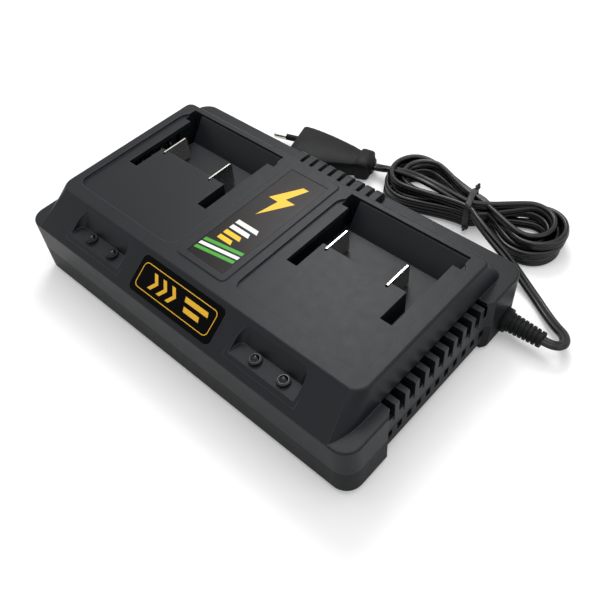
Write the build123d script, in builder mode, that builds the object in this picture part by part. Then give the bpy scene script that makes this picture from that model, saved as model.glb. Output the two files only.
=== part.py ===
"""Twin-bay charger for slide-on cordless tool battery packs, with its mains cord.

Millimetres. X runs along the long side, Y from the sloping indicator front (-Y)
to the rear ledge (+Y), Z up. The origin is on the floor under the middle of the
housing. Every separate physical piece is one solid in its own STEP file.
"""

import math
import os

from build123d import *

os.makedirs("parts", exist_ok=True)

# ------------------------------------------------------------------ housing
BODY_W = 226.0                 # overall length along X
BODY_D = 133.0                 # overall depth along Y
CORNER_R = 9.0                 # plan corner radius of both shells
WALL = 2.4                     # moulded wall
FOOT_H = 2.0                   # rubber feet lift the base off the floor
PARTING_Z = 19.0               # joint between bottom and top shell
LEDGE_Z = 36.5                 # flat ledge round the plateau
RIM_Z = 51.0                   # top face
TOP_T = 2.6                    # thickness of the top face
RIM_X = BODY_W / 2 - 9.8       # half length of the top face
BASE_X = BODY_W / 2 - 7.0      # half length of the plateau at ledge level
BASE_Y0 = -BODY_D / 2          # the sloping front starts at the front face
BASE_Y1 = BODY_D / 2 - 9.5     # rear edge of the plateau at ledge level
RIM_Y0 = BASE_Y0 + 19.9        # front edge of the top face
RIM_Y1 = BODY_D / 2 - 19.4     # rear edge of the top face
BASE_TURN = (4.2, 18.5)        # front corner of the plateau at ledge level, along X and Y
RIM_TURN = (5.5, 8.1)          # the same corner at the top face
LIP_H = 1.6                    # tongue of the bottom shell inside the top shell
LIP_T = 1.2
SLIDE_GAP = 0.2                # gap between mating moulded faces

# ------------------------------------------------------------- sloping front
PANEL_A = math.degrees(math.atan2(RIM_Z - LEDGE_Z, RIM_Y0 - BASE_Y0))
PANEL_MID = ((BASE_Y0 + RIM_Y0) / 2, (LEDGE_Z + RIM_Z) / 2)
BADGE_W = 57.0
BADGE_H = 18.6
BADGE_R = 3.0
BADGE_T = 1.0
BADGE_DEEP = 0.8
PANEL_PLANE = Plane(
    origin=(0, PANEL_MID[0], PANEL_MID[1]),
    x_dir=(1, 0, 0),
    z_dir=(0, -math.sin(math.radians(PANEL_A)), math.cos(math.radians(PANEL_A))),
)

# ------------------------------------------------------------- battery bays
BAY_X = 59.3                   # bay centre, left and right of the middle
RECESS_X = 38.2                # half width of the shallow border recess
RECESS_Y = (-39.0, 39.8)
RECESS_DEEP = 1.2
RECESS_R = 6.0
TROUGH_X = 31.1                # half width of the deep trough
TROUGH_Y = (-9.8, 43.8)
TROUGH_Z = LEDGE_Z             # trough floor
GROOVE_X = 29.6                # the rail channels beside the floor start here
GROOVE_Z = TROUGH_Z - 5.0      # floor of those channels
RAMP_Y = (33.6, 43.8)          # the ramp down from the rear of the trough
CHANNEL_X = 35.5               # half width of the rail channels under the lips
LIP_THICK = 2.6                # lips that the pack's rails slide under
HOOK_Y0 = 35.6                 # rail entry pockets start here
PLATFORM_X = 24.6              # half width of the flush terminal platform
PLATFORM_Y1 = 9.3              # its rear face
TUB_T = 2.2                    # walls of the moulded tub
BLADE_DX = (-20.8, 15.6)       # two contact blades in each bay
BLADE_T = 0.8
BLADE_GAP = 0.3
BLADE_Y1 = 23.4                # blades reach this far into the trough
BLADE_Y0 = -2.0                # and this far back into the terminal block
BLADE_Z = (TROUGH_Z + 0.6, RIM_Z - 0.6)

# ---------------------------------------------------------- indicator pockets
POCKET_W = 39.4
POCKET_FLOOR = ((BASE_Y0 + 5.2, 40.3), (BASE_Y0 + 13.3, 41.0))   # front edge and rear corner (y, z)
POCKET_TOP = (BASE_Y0 + 17.9, 49.54)
POCKET_R = 3.5
LED_DX = (-6.9, 10.1)          # red and green lamp from the bay centre
LED_Y = BASE_Y0 + 9.9
LED_R = 2.5
LED_HOLE_R = 3.3
COLLAR_R = 4.2                 # flange of the lamp collar, under the pocket floor
COLLAR_Z = 38.0                # top of that flange
LED_BOARD_Z = 31.0
BOARD_T = 1.6

# -------------------------------------------------------------------- vents
RIB_PITCH = 7.1
RIB_COUNT = 10
RIB_T = 2.8
FIELD_SINK = 2.5               # the vent field lies this far inside the side face
FIELD_X = BODY_W / 2 - FIELD_SINK
FIELD_HALF = (37.0, 41.5)      # half length of the field, at its wall and at the side face
FIELD_FOOT = (3.2, 4.4)        # slope under the field, inwards and upwards
RIB_X1 = FIELD_X + 0.6         # the ribs stand a little proud of the field
VENT_HALF = 36.5               # half length of the rib row
RAIL_Z = 26.4                  # rail under the side ribs
NOTCH_COUNT = 11
NOTCH_W = 3.6
NOTCH_Z = (11.4, 17.0)
BACK_PITCH = 6.65
BACK_COUNT = 9
BACK_RIB_T = 4.2
BACK_TOP_Z = 40.4
BACK_Y = (55.5, 65.2)

# -------------------------------------------------------------------- label
ISLAND_X = 16.6
ISLAND_Y = (-40.2, 44.2)
ISLAND_H = 0.8
LABEL_X = 12.5
LABEL_Y = (-36.2, 38.4)
LABEL_T = 0.6

# --------------------------------------------------------- fixings and feet
BOSSES = ((-99.0, -52.0), (99.0, -52.0), (-99.0, 53.0), (99.0, 53.0), (0.0, 52.0))
BOSS_R = 4.2
PILOT_R = 1.5
SCREW_R = 1.35
SCREW_HEAD_R = 3.1
HEAD_SINK = 6.0                # the case screws sit this deep under the base
FEET = ((-96.0, -50.5), (96.0, -50.5), (-96.0, 50.5), (96.0, 50.5))
FOOT_R = 6.5
FOOT_POCKET = 0.8

# -------------------------------------------------------------- electronics
PCB_X = 88.0
PCB_Y = (-46.0, 40.0)
PCB_Z = 9.0
PCB_TOP = PCB_Z + BOARD_T
FLOOR_Z = FOOT_H + WALL
POSTS = ((-82.0, -40.0), (82.0, -40.0), (-82.0, 34.0), (82.0, 34.0), (0.0, -42.0), (0.0, 36.0))
POST_R = 3.2

# ------------------------------------------------------- cord, relief, plug
RELIEF_Y = 54.0
RELIEF_Z = 10.5
RELIEF_HOLE_R = 4.2
NECK_R = 3.9
CORD_R = 2.3                   # round stand-in for the flat 5.8 x 3.4 two-core cord
RELIEF_R = (5.3, 4.2)
RELIEF_LEN = 21.0
RELIEF_RINGS = 7
LEAD_ROUTE = (
    (BODY_W / 2 + RELIEF_LEN, RELIEF_Y, RELIEF_Z),
    (BODY_W / 2 + RELIEF_LEN + 6.0, RELIEF_Y, RELIEF_Z),
    (143.0, 62.0, 7.2),
    (136.5, 70.0, 4.2),
    (127.0, 76.0, 2.6),
    (112.5, 84.0, 2.5),
    (95.6, 93.2, 2.6),
)
HANK_LEFT = (24.0, 113.5, 27.0, 22.5)    # loop centre x, y and its two radii
HANK_RIGHT = (83.5, 116.5, 26.5, 24.0)
HANK_H = 19.0
WAIST_X = (44.0, 64.0)         # the bundle between the loops
WAIST_Y = (102.0, 124.0)
WAIST_Z = (1.6, 15.0)
TIE_W = 3.0
TIE_T = 1.0
TIE_GAP = 0.3
PLUG_T = 13.7
PLUG_AT = (-65.0, 93.0)        # middle of the pin face
PLUG_TURN = 18.0               # the plug points this much off the X axis
PLUG_HALF = 17.65              # half width at the pin face
PLUG_LEN = 54.0                # with its collar
PLUG_OUTLINE = (
    (0.0, -PLUG_HALF),
    (0.0, PLUG_HALF),
    (18.0, PLUG_HALF),
    (32.0, 14.5),
    (42.0, 8.6),
    (PLUG_LEN, 6.2),
    (PLUG_LEN, -6.2),
    (42.0, -8.6),
    (32.0, -14.5),
    (18.0, -PLUG_HALF),
)
TAIL_Z = PLUG_T / 2
PIN_R = 2.0
PIN_LEN = 19.0
PIN_GAP = 18.6
PIN_ROOT = 8.0
PIN_NECK_R = 1.5               # core of the pin inside its moulded sleeve
SLEEVE_LEN = 10.0              # the sleeve covers the root of each pin


# ------------------------------------------------------------------ helpers
def save(builder: BuildPart, node: str) -> None:
    """Label one finished sub-part and write its STEP file."""
    builder.part.label = node
    export_step(builder.part, f"parts/{node}.step")


def span_box(x: tuple, y: tuple, z: tuple, mode: Mode = Mode.ADD) -> None:
    """Add or cut a box given by its limits on each axis."""
    with Locations(((x[0] + x[1]) / 2, (y[0] + y[1]) / 2, (z[0] + z[1]) / 2)):
        Box(x[1] - x[0], y[1] - y[0], z[1] - z[0], mode=mode)


def plan_rect(z: float, half_x: float, y: tuple, r_front: float, r_back: float) -> Sketch:
    """Return a plan rectangle at height z with its own front and rear radii."""
    with BuildSketch(Plane.XY.offset(z), mode=Mode.PRIVATE) as plan:
        with Locations((0, (y[0] + y[1]) / 2)):
            Rectangle(2 * half_x, y[1] - y[0])
        fillet(plan.vertices().group_by(Axis.Y)[0], r_front)
        fillet(plan.vertices().group_by(Axis.Y)[-1], r_back)
    return plan.sketch


def side_prism(points: tuple, x0: float, x1: float) -> Part:
    """Return a prism that runs from x0 to x1 with its outline in the YZ plane."""
    with BuildPart(mode=Mode.PRIVATE) as prism:
        with BuildSketch(Plane(origin=(x0, 0, 0), x_dir=(0, 1, 0), z_dir=(1, 0, 0))):
            Polygon(*points, align=None)
        extrude(amount=x1 - x0)
    return prism.part


def pitch_places(count: int, pitch: float) -> list:
    """Return count positions spaced by pitch about zero."""
    return [(i - (count - 1) / 2) * pitch for i in range(count)]


def shell_plan(z: float, inset: float) -> Sketch:
    """Return the rounded plan of the housing, inset from its outside."""
    return plan_rect(
        z,
        BODY_W / 2 - inset,
        (-BODY_D / 2 + inset, BODY_D / 2 - inset),
        CORNER_R - inset,
        CORNER_R - inset,
    )


def plateau_plan(z: float, half_x: float, y: tuple, turn: tuple, r_back: float) -> Sketch:
    """Return the plateau's plan at height z, its front corners curved from a crease."""
    across, along = turn
    radius = (across ** 2 + along ** 2) / (2 * across)
    lean = math.asin(along / radius) / 2
    bow = (half_x - radius * (1 - math.cos(lean)), y[0] + along - radius * math.sin(lean))
    with BuildSketch(Plane.XY.offset(z), mode=Mode.PRIVATE) as plan:
        with BuildLine():
            front = Line((-half_x + across, y[0]), (half_x - across, y[0]))
            right = ThreePointArc(front @ 1, bow, (half_x, y[0] + along))
            side = Line(right @ 1, (half_x, y[1] - r_back))
            turn_right = RadiusArc(side @ 1, (half_x - r_back, y[1]), -r_back)
            back = Line(turn_right @ 1, (-half_x + r_back, y[1]))
            turn_left = RadiusArc(back @ 1, (-half_x, y[1] - r_back), -r_back)
            rise = Line(turn_left @ 1, (-half_x, y[0] + along))
            ThreePointArc(rise @ 1, (-bow[0], bow[1]), front @ 0)
        make_face()
    return plan.sketch


# ================================================================ top shell
def plateau(sink: float, side: float, front: float, back: float, z_base: float) -> Part:
    """Return the lofted plateau; the arguments inset it for its hollow."""
    z_top = RIM_Z - sink
    drop = (LEDGE_Z - z_base)
    y_base = (BASE_Y0 + front, BASE_Y1 - back + drop * 0.4)
    lower = plateau_plan(z_base, BASE_X - side, y_base, BASE_TURN, 5.0)
    rise = (RIM_Z - z_top) * (RIM_Y0 - BASE_Y0) / (RIM_Z - LEDGE_Z)
    y_top = (RIM_Y0 - rise + front + 1.6 * (front > 0), RIM_Y1 - back)
    upper = plateau_plan(z_top, RIM_X - side, y_top, RIM_TURN, 4.0)
    return loft([lower.face(), upper.face()], mode=Mode.PRIVATE)


def crown() -> Part:
    """Return the outer plateau with its soft upper edge."""
    with BuildPart(mode=Mode.PRIVATE) as body:
        add(plateau(0, 0, 0, 0, LEDGE_Z - 0.4))
        fillet(body.faces().sort_by(Axis.Z)[-1].edges(), 1.4)
        add(island())
    return body.part


def hollow() -> Part:
    """Return the room inside the top shell."""
    with BuildPart(mode=Mode.PRIVATE) as room:
        add(shell_plan(PARTING_Z, WALL))
        extrude(amount=LEDGE_Z - WALL - PARTING_Z)
        add(plateau(TOP_T, WALL, WALL, WALL, LEDGE_Z - WALL - 0.2))
    return room.part


def bay_cuts(xc: float) -> None:
    """Cut one battery bay: recess, trough, rail channels and entry pockets."""
    lip_z = RIM_Z - RECESS_DEEP
    with BuildSketch(Plane.XY.offset(RIM_Z), mode=Mode.PRIVATE) as border:
        with Locations((xc, sum(RECESS_Y) / 2)):
            RectangleRounded(2 * RECESS_X, RECESS_Y[1] - RECESS_Y[0], RECESS_R)
    extrude(border.sketch, amount=-RECESS_DEEP, mode=Mode.SUBTRACT)
    x = (xc - TROUGH_X, xc + TROUGH_X)
    span_box(x, (PLATFORM_Y1, TROUGH_Y[1]), (TROUGH_Z, RIM_Z + 1), Mode.SUBTRACT)
    for side in (-1, 1):
        slot = sorted((xc + side * PLATFORM_X, xc + side * TROUGH_X))
        span_box(slot, (TROUGH_Y[0], PLATFORM_Y1 + 1), (TROUGH_Z, RIM_Z + 1), Mode.SUBTRACT)
        rail = sorted((xc + side * (TROUGH_X - 1), xc + side * CHANNEL_X))
        span_box(rail, TROUGH_Y, (TROUGH_Z, lip_z - LIP_THICK), Mode.SUBTRACT)
        groove = sorted((xc + side * GROOVE_X, xc + side * CHANNEL_X))
        end = TROUGH_Y[1] if side < 0 else RAMP_Y[0]
        span_box(groove, (TROUGH_Y[0], end), (GROOVE_Z, TROUGH_Z + 1), Mode.SUBTRACT)
        hook = sorted((xc + side * (TROUGH_X - 1), xc + side * CHANNEL_X))
        span_box(hook, (HOOK_Y0, TROUGH_Y[1]), (TROUGH_Z, RIM_Z + 1), Mode.SUBTRACT)
    back = TROUGH_Y[1] + 0.5
    ramp = ((RAMP_Y[0], TROUGH_Z - 0.5), (back, TROUGH_Z - 0.5), (back, lip_z - 0.6), (RAMP_Y[1] - 0.6, lip_z - 0.6))
    add(side_prism(ramp, xc - GROOVE_X, xc + CHANNEL_X + 0.5))


def bay_tub(xc: float) -> None:
    """Add the walls and floor that the bay's trough is cut out of."""
    half = CHANNEL_X + TUB_T
    y = (TROUGH_Y[0] - TUB_T, TROUGH_Y[1] + TUB_T)
    span_box((xc - half, xc + half), y, (TROUGH_Z - TUB_T, RIM_Z - 0.5))
    for side in (-1, 1):
        groove = sorted((xc + side * (GROOVE_X - TUB_T), xc + side * half))
        span_box(groove, y, (GROOVE_Z - TUB_T, TROUGH_Z))


def bay_block_room(xc: float) -> None:
    """Hollow the platform from below and slit its rear wall for the blades."""
    x = (xc - PLATFORM_X + TUB_T, xc + PLATFORM_X - TUB_T)
    span_box(x, (TROUGH_Y[0] - TUB_T - 1, PLATFORM_Y1 - TUB_T), (TROUGH_Z - 5, RIM_Z - RECESS_DEEP - TOP_T),
             Mode.SUBTRACT)
    for dx in BLADE_DX:
        half = BLADE_T / 2 + BLADE_GAP
        span_box((xc + dx - half, xc + dx + half), (PLATFORM_Y1 - TUB_T - 1, PLATFORM_Y1 + 1),
                 (BLADE_Z[0] - BLADE_GAP, RIM_Z + 1), Mode.SUBTRACT)


def pocket_body(xc: float, grow: float) -> Part:
    """Return the indicator pocket's volume, or its housing when grown."""
    front = (POCKET_FLOOR[0][0] - grow, POCKET_FLOOR[0][1] - grow)
    rear = (POCKET_FLOOR[1][0] + grow, POCKET_FLOOR[1][1] - grow)
    top = (POCKET_TOP[0] + grow, POCKET_TOP[1] - 0.3 * grow)
    if grow:
        points = (front, rear, top, (POCKET_TOP[0] - 1.2, POCKET_TOP[1] - 1.6), (front[0], front[1] + 0.6))
        return side_prism(points, xc - POCKET_W / 2 - grow, xc + POCKET_W / 2 + grow)
    points = (front, rear, top, (top[0] - 8, top[1] + 6), (front[0] - 8, front[1] + 6))
    slope_mid = (rear[0] + top[0]) / 2
    with BuildPart(mode=Mode.PRIVATE) as room:
        add(side_prism(points, xc - POCKET_W / 2, xc + POCKET_W / 2))
        corners = [e for e in room.edges() if abs(e.center().Y - slope_mid) < 0.2
                   and abs(abs(e.center().X - xc) - POCKET_W / 2) < 0.1]
        fillet(corners, POCKET_R)
    return room.part


def field_room(side: int) -> Part:
    """Return what the sunken vent field takes out of one side of both shells."""
    near, far = FIELD_HALF
    out = BODY_W / 2 + 1
    with BuildPart(mode=Mode.PRIVATE) as room:
        with BuildSketch(Plane.XY.offset(FOOT_H - 1)):
            Polygon((side * FIELD_X, -near), (side * out, -far), (side * out, far), (side * FIELD_X, near),
                    align=None)
        extrude(amount=LEDGE_Z)
    return room.part


def field_wall(side: int, z0: float, z1: float) -> None:
    """Add the wall behind one sunken vent field."""
    x = sorted((side * (FIELD_X - WALL), side * (FIELD_X + 0.5)))
    span_box(x, (-FIELD_HALF[1] - WALL, FIELD_HALF[1] + WALL), (z0, z1))


def side_vents(side: int) -> None:
    """Open one side's vent field and stand its ribs in it."""
    field_wall(side, PARTING_Z, RAIL_Z)
    add(field_room(side), mode=Mode.SUBTRACT)
    x = sorted((side * (RIM_X + 0.8), side * (BODY_W / 2 + 1)))
    span_box(x, (-VENT_HALF, VENT_HALF), (RAIL_Z, LEDGE_Z + 1), Mode.SUBTRACT)
    for y in pitch_places(RIB_COUNT, RIB_PITCH):
        span = sorted((side * (RIM_X - 0.6), side * RIB_X1))
        span_box(span, (y - RIB_T / 2, y + RIB_T / 2), (RAIL_Z - 2.4, LEDGE_Z - 0.2))
    shelf = sorted((side * (BODY_W / 2 - WALL - 5.5), side * (FIELD_X - 0.4)))
    span_box(shelf, (-VENT_HALF, VENT_HALF), (RAIL_Z - 2.4, RAIL_Z))


def tub_windows(side: int) -> None:
    """Cut the air windows of a bay's outer tub wall, in line with the ribs."""
    wall = side * (BAY_X + CHANNEL_X)
    x = sorted((wall - side * 1.0, wall + side * (TUB_T + 2.0)))
    for y in pitch_places(RIB_COUNT - 1, RIB_PITCH)[4:]:
        half = (RIB_PITCH - RIB_T) / 2
        span_box(x, (y - half, y + half), (TROUGH_Z + 0.6, RIM_Z - RECESS_DEEP - LIP_THICK), Mode.SUBTRACT)


def rear_vents() -> None:
    """Open the rear ledge between rounded ribs."""
    field = BACK_PITCH * BACK_COUNT / 2
    span_box((-field, field), (BASE_Y1 + 1.2, BODY_D / 2 + 1), (LEDGE_Z - 8.0, LEDGE_Z + 2), Mode.SUBTRACT)
    outline = (
        (BACK_Y[0] - 1.6, LEDGE_Z - 9.0),
        (BACK_Y[1], LEDGE_Z - 9.0),
        (BACK_Y[1], BACK_TOP_Z),
        (BASE_Y1 - 4.2, BACK_TOP_Z),
    )
    for x in pitch_places(BACK_COUNT, BACK_PITCH):
        with BuildPart(mode=Mode.PRIVATE) as rib:
            add(side_prism(outline, x - BACK_RIB_T / 2, x + BACK_RIB_T / 2))
            outer = [e for e in rib.edges()
                     if e.center().Y > BACK_Y[1] - 0.1 and e.center().Z > BACK_TOP_Z - 0.1]
            fillet(outer, 3.0)
        add(rib.part)
    span_box((-field, field), (BODY_D / 2 - WALL - 3.0, BODY_D / 2 - 0.6), (LEDGE_Z - 10.0, LEDGE_Z - 8.0))


def island() -> Part:
    """Return the label's raised island with its bevelled edge."""
    with BuildPart(mode=Mode.PRIVATE) as body:
        with BuildSketch(Plane.XY.offset(RIM_Z - 0.6)):
            with Locations((0, sum(ISLAND_Y) / 2)):
                RectangleRounded(2 * ISLAND_X, ISLAND_Y[1] - ISLAND_Y[0], 3.0)
        extrude(amount=ISLAND_H + 0.6)
        chamfer(body.faces().sort_by(Axis.Z)[-1].edges(), 0.6)
    return body.part


def label_seat() -> None:
    """Sink the label's seat into the island."""
    seat = SLIDE_GAP
    span_box((-LABEL_X - seat, LABEL_X + seat), (LABEL_Y[0] - seat, LABEL_Y[1] + seat),
             (RIM_Z + ISLAND_H - LABEL_T, RIM_Z + 2), Mode.SUBTRACT)


def badge_seat() -> None:
    """Sink the badge's seat into the sloping front."""
    with BuildSketch(PANEL_PLANE, mode=Mode.PRIVATE) as outline:
        RectangleRounded(BADGE_W + 2 * SLIDE_GAP, BADGE_H + 2 * SLIDE_GAP, BADGE_R)
    extrude(outline.sketch, amount=-BADGE_DEEP, mode=Mode.SUBTRACT)


def upright(x: float, y: float, radius: float, z0: float, z1: float, mode: Mode = Mode.ADD) -> None:
    """Add or cut a vertical cylinder between two heights."""
    with Locations((x, y, z0)):
        Cylinder(radius, z1 - z0, align=(Align.CENTER, Align.CENTER, Align.MIN), mode=mode)


def top_shell_solid() -> None:
    """Build the moulded top shell with its bays, pockets and vents."""
    with BuildPart() as shell:
        add(shell_plan(PARTING_Z, 0))
        extrude(amount=LEDGE_Z - PARTING_Z)
        ledge = shell.faces().sort_by(Axis.Z)[-1]
        fillet(ledge.edges(), 1.0)
        add(crown())
        add(hollow(), mode=Mode.SUBTRACT)
        for x, y in BOSSES:
            upright(x, y, BOSS_R, PARTING_Z, LEDGE_Z - 1)
            if x:
                web = sorted((x, math.copysign(BODY_W / 2 - 1, x)))
                span_box(web, (y - 1, y + 1), (PARTING_Z + LIP_H + 1, LEDGE_Z - 3))
        for side in (-1, 1):
            bay_tub(side * BAY_X)
        for side in (-1, 1):
            bay_cuts(side * BAY_X)
            bay_block_room(side * BAY_X)
            tub_windows(side)
            side_vents(side)
            add(pocket_body(side * BAY_X, 2.0))
            add(pocket_body(side * BAY_X, 0.0), mode=Mode.SUBTRACT)
            for dx in LED_DX:
                upright(side * BAY_X + dx, LED_Y, LED_HOLE_R, LEDGE_Z, RIM_Z - 8, Mode.SUBTRACT)
                upright(side * BAY_X + dx, LED_Y, COLLAR_R + SLIDE_GAP, LEDGE_Z - 4, COLLAR_Z + SLIDE_GAP,
                        Mode.SUBTRACT)
            for dx in (-15.0, 17.0):
                upright(side * BAY_X + dx, LED_Y, 2.4, LED_BOARD_Z + BOARD_T, LEDGE_Z + 2.5)
        rear_vents()
        label_seat()
        badge_seat()
        for x, y in BOSSES:
            upright(x, y, PILOT_R, PARTING_Z - 1, PARTING_Z + 12, Mode.SUBTRACT)
    save(shell, "top_shell")


# ============================================================= bottom shell
def bottom_shell_solid() -> None:
    """Build the bottom shell: floor, tongue, posts, bosses and vents."""
    with BuildPart() as shell:
        add(shell_plan(FOOT_H, 0))
        extrude(amount=PARTING_Z - FOOT_H)
        fillet(shell.faces().sort_by(Axis.Z)[0].edges(), 1.8)
        room = extrude(shell_plan(FLOOR_Z, WALL), amount=BODY_D, mode=Mode.PRIVATE)
        add(room, mode=Mode.SUBTRACT)
        outer = extrude(shell_plan(PARTING_Z - 3, WALL + SLIDE_GAP), amount=3 + LIP_H, mode=Mode.PRIVATE)
        inner = extrude(shell_plan(PARTING_Z - 4, WALL + SLIDE_GAP + LIP_T), amount=9, mode=Mode.PRIVATE)
        root = extrude(shell_plan(PARTING_Z - 3, WALL - 0.4), amount=2.6, mode=Mode.PRIVATE)
        add((outer + root) - inner)
        for x, y in BOSSES:
            upright(x, y, BOSS_R + 0.6, FLOOR_Z - 1, PARTING_Z)
            upright(x, y, PILOT_R + 0.3, FOOT_H - 1, PARTING_Z + 1, Mode.SUBTRACT)
            upright(x, y, SCREW_HEAD_R + 0.3, FOOT_H - 1, FOOT_H + HEAD_SINK, Mode.SUBTRACT)
        for x, y in POSTS:
            upright(x, y, POST_R, FLOOR_Z - 1, PCB_Z)
            upright(x, y, 1.45, FLOOR_Z, PCB_Z + 1, Mode.SUBTRACT)
        for x, y in FEET:
            upright(x, y, FOOT_R + SLIDE_GAP, FOOT_H - 1, FOOT_H + FOOT_POCKET, Mode.SUBTRACT)
        for side in (-1, 1):
            tongue = sorted((side * (FIELD_X - WALL - SLIDE_GAP), side * (BODY_W / 2 - WALL)))
            reach = FIELD_HALF[1] + WALL + SLIDE_GAP
            span_box(tongue, (-reach, reach), (PARTING_Z - 4, PARTING_Z + LIP_H + 1), Mode.SUBTRACT)
            field_wall(side, FLOOR_Z, PARTING_Z)
            inner, lift = FIELD_FOOT
            with BuildPart(mode=Mode.PRIVATE) as foot:
                with BuildSketch(Plane.XZ.offset(-FIELD_HALF[1])):
                    Polygon((side * (FIELD_X - inner - WALL), FOOT_H), (side * (FIELD_X - inner), FOOT_H),
                            (side * FIELD_X, FOOT_H + lift), (side * FIELD_X, FOOT_H + lift + WALL),
                            (side * (FIELD_X - WALL), FOOT_H + lift + WALL),
                            (side * (FIELD_X - inner - WALL), FOOT_H + WALL + 1), align=None)
                extrude(amount=2 * FIELD_HALF[1])
            add(field_room(side), mode=Mode.SUBTRACT)
            under = sorted((side * (FIELD_X - inner), side * (BODY_W / 2 + 1)))
            span_box(under, (-FIELD_HALF[0], FIELD_HALF[0]), (FOOT_H - 1, FOOT_H + lift + 1), Mode.SUBTRACT)
            add(foot.part)
            x = sorted((side * (BODY_W / 2 - WALL - 3), side * (BODY_W / 2 + 1)))
            for y in pitch_places(NOTCH_COUNT, RIB_PITCH):
                span_box(x, (y - NOTCH_W / 2, y + NOTCH_W / 2), NOTCH_Z, Mode.SUBTRACT)
        for x in pitch_places(9, 8.0):
            span_box((x - 1.5, x + 1.5), (-22.0, 16.0), (FOOT_H - 1, FLOOR_Z + 0.5), Mode.SUBTRACT)
        with Locations((BODY_W / 2 - WALL, RELIEF_Y, RELIEF_Z)):
            Cylinder(RELIEF_HOLE_R, 3 * WALL, rotation=(0, 90, 0), mode=Mode.SUBTRACT)
    save(shell, "bottom_shell")


# ========================================================== faces and lamps
def badge_node() -> None:
    """Build the gloss badge plate that fills its seat in the sloping front."""
    with BuildPart() as badge:
        with BuildSketch(PANEL_PLANE.offset(-BADGE_DEEP)):
            RectangleRounded(BADGE_W, BADGE_H, BADGE_R - SLIDE_GAP)
        extrude(amount=BADGE_T)
        rim = badge.faces().sort_by(Axis(PANEL_PLANE.origin, PANEL_PLANE.z_dir))[-1]
        fillet(rim.edges(), 0.25)
    save(badge, "front_badge")


def label_node() -> None:
    """Build the printed label plate on the island between the bays."""
    with BuildPart() as label:
        with BuildSketch(Plane.XY.offset(RIM_Z + ISLAND_H - LABEL_T)):
            with Locations((0, sum(LABEL_Y) / 2)):
                RectangleRounded(2 * LABEL_X, LABEL_Y[1] - LABEL_Y[0], 0.4)
        extrude(amount=LABEL_T - 0.15)
    save(label, "label_plate")


def lamp_nodes() -> None:
    """Build the four lamps, their collars and the two boards they stand on."""
    for name, side in (("left", -1), ("right", 1)):
        xc = side * BAY_X
        with BuildPart() as board:
            span_box((xc - 18, xc + 20), (LED_Y - 5.5, LED_Y + 5.5), (LED_BOARD_Z, LED_BOARD_Z + BOARD_T))
        save(board, f"led_board_{name}")
        for colour, dx in zip(("red", "green"), LED_DX):
            x = xc + dx
            base = LED_BOARD_Z + BOARD_T
            with BuildPart() as lamp:
                upright(x, LED_Y, LED_R, base, 42.4)
                upright(x, LED_Y, LED_R + 0.4, base, base + 1.0)
                with Locations((x, LED_Y, 42.4)):
                    Sphere(LED_R, arc_size1=0)
            save(lamp, f"lamp_{name}_{colour}")
            with BuildPart() as collar:
                upright(x, LED_Y, LED_HOLE_R - 0.05, COLLAR_Z - 0.1, COLLAR_Z + 4.2)
                upright(x, LED_Y, COLLAR_R, COLLAR_Z - 1.2, COLLAR_Z)
                upright(x, LED_Y, LED_R + 0.05, COLLAR_Z - 2, COLLAR_Z + 5, Mode.SUBTRACT)
            save(collar, f"lamp_collar_{name}_{colour}")


def contact_nodes() -> None:
    """Build each bay's terminal block and its two silver blades."""
    for name, side in (("left", -1), ("right", 1)):
        xc = side * BAY_X
        top = RIM_Z - RECESS_DEEP - TOP_T
        with BuildPart() as block:
            span_box((xc - 22.1, xc + 22.1), (BLADE_Y0 - 4, PLATFORM_Y1 - TUB_T), (TROUGH_Z - 4, top))
            for dx in BLADE_DX:
                half = BLADE_T / 2
                span_box((xc + dx - half, xc + dx + half), (BLADE_Y0, PLATFORM_Y1), BLADE_Z, Mode.SUBTRACT)
                root = (xc + dx - 1.6, xc + dx + 1.6)
                span_box(root, (BLADE_Y0 - 5, BLADE_Y0), (TROUGH_Z - 5, TROUGH_Z + 4),
                         Mode.SUBTRACT)
        save(block, f"terminal_block_{name}")
        for pole, dx in zip(("minus", "plus"), BLADE_DX):
            half = BLADE_T / 2
            with BuildPart() as blade:
                span_box((xc + dx - half, xc + dx + half), (PLATFORM_Y1 - TUB_T, BLADE_Y1), BLADE_Z)
                span_box((xc + dx - half, xc + dx + half), (BLADE_Y0, PLATFORM_Y1), (BLADE_Z[0], top))
                tip = [e for e in blade.edges()
                       if e.center().Y > BLADE_Y1 - 0.1 and abs(e.center().X - xc - dx) < 0.1]
                fillet(tip, 1.2)
            save(blade, f"blade_{name}_{pole}")


# ==================================================== feet and case screws
def under_nodes() -> None:
    """Build the four rubber feet and the case screws as two shared nodes."""
    with BuildPart() as feet:
        for x, y in FEET:
            upright(x, y, FOOT_R, 0, FOOT_H + FOOT_POCKET)
        fillet(feet.faces().sort_by(Axis.Z)[:4].edges(), 0.6)
    save(feet, "rubber_feet")
    with BuildPart() as screws:
        for x, y in BOSSES:
            upright(x, y, SCREW_HEAD_R, FOOT_H + HEAD_SINK - 2.2, FOOT_H + HEAD_SINK)
            upright(x, y, SCREW_R, FOOT_H + HEAD_SINK, PARTING_Z + 9)
            upright(x, y, 1.0, FOOT_H + HEAD_SINK - 3, FOOT_H + HEAD_SINK - 1, Mode.SUBTRACT)
    save(screws, "case_screws")
    with BuildPart() as screws:
        for x, y in POSTS:
            upright(x, y, 2.7, PCB_TOP, PCB_TOP + 1.9)
            upright(x, y, 1.3, PCB_Z - 4, PCB_TOP)
            upright(x, y, 0.9, PCB_TOP + 0.9, PCB_TOP + 3, Mode.SUBTRACT)
    save(screws, "board_screws")


# ============================================================== electronics
def board_node() -> None:
    """Build the main circuit board with its screw holes."""
    with BuildPart() as board:
        span_box((-PCB_X, PCB_X), PCB_Y, (PCB_Z, PCB_TOP))
        for x, y in POSTS:
            upright(x, y, 1.5, PCB_Z - 1, PCB_TOP + 1, Mode.SUBTRACT)
    save(board, "main_board")


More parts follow.
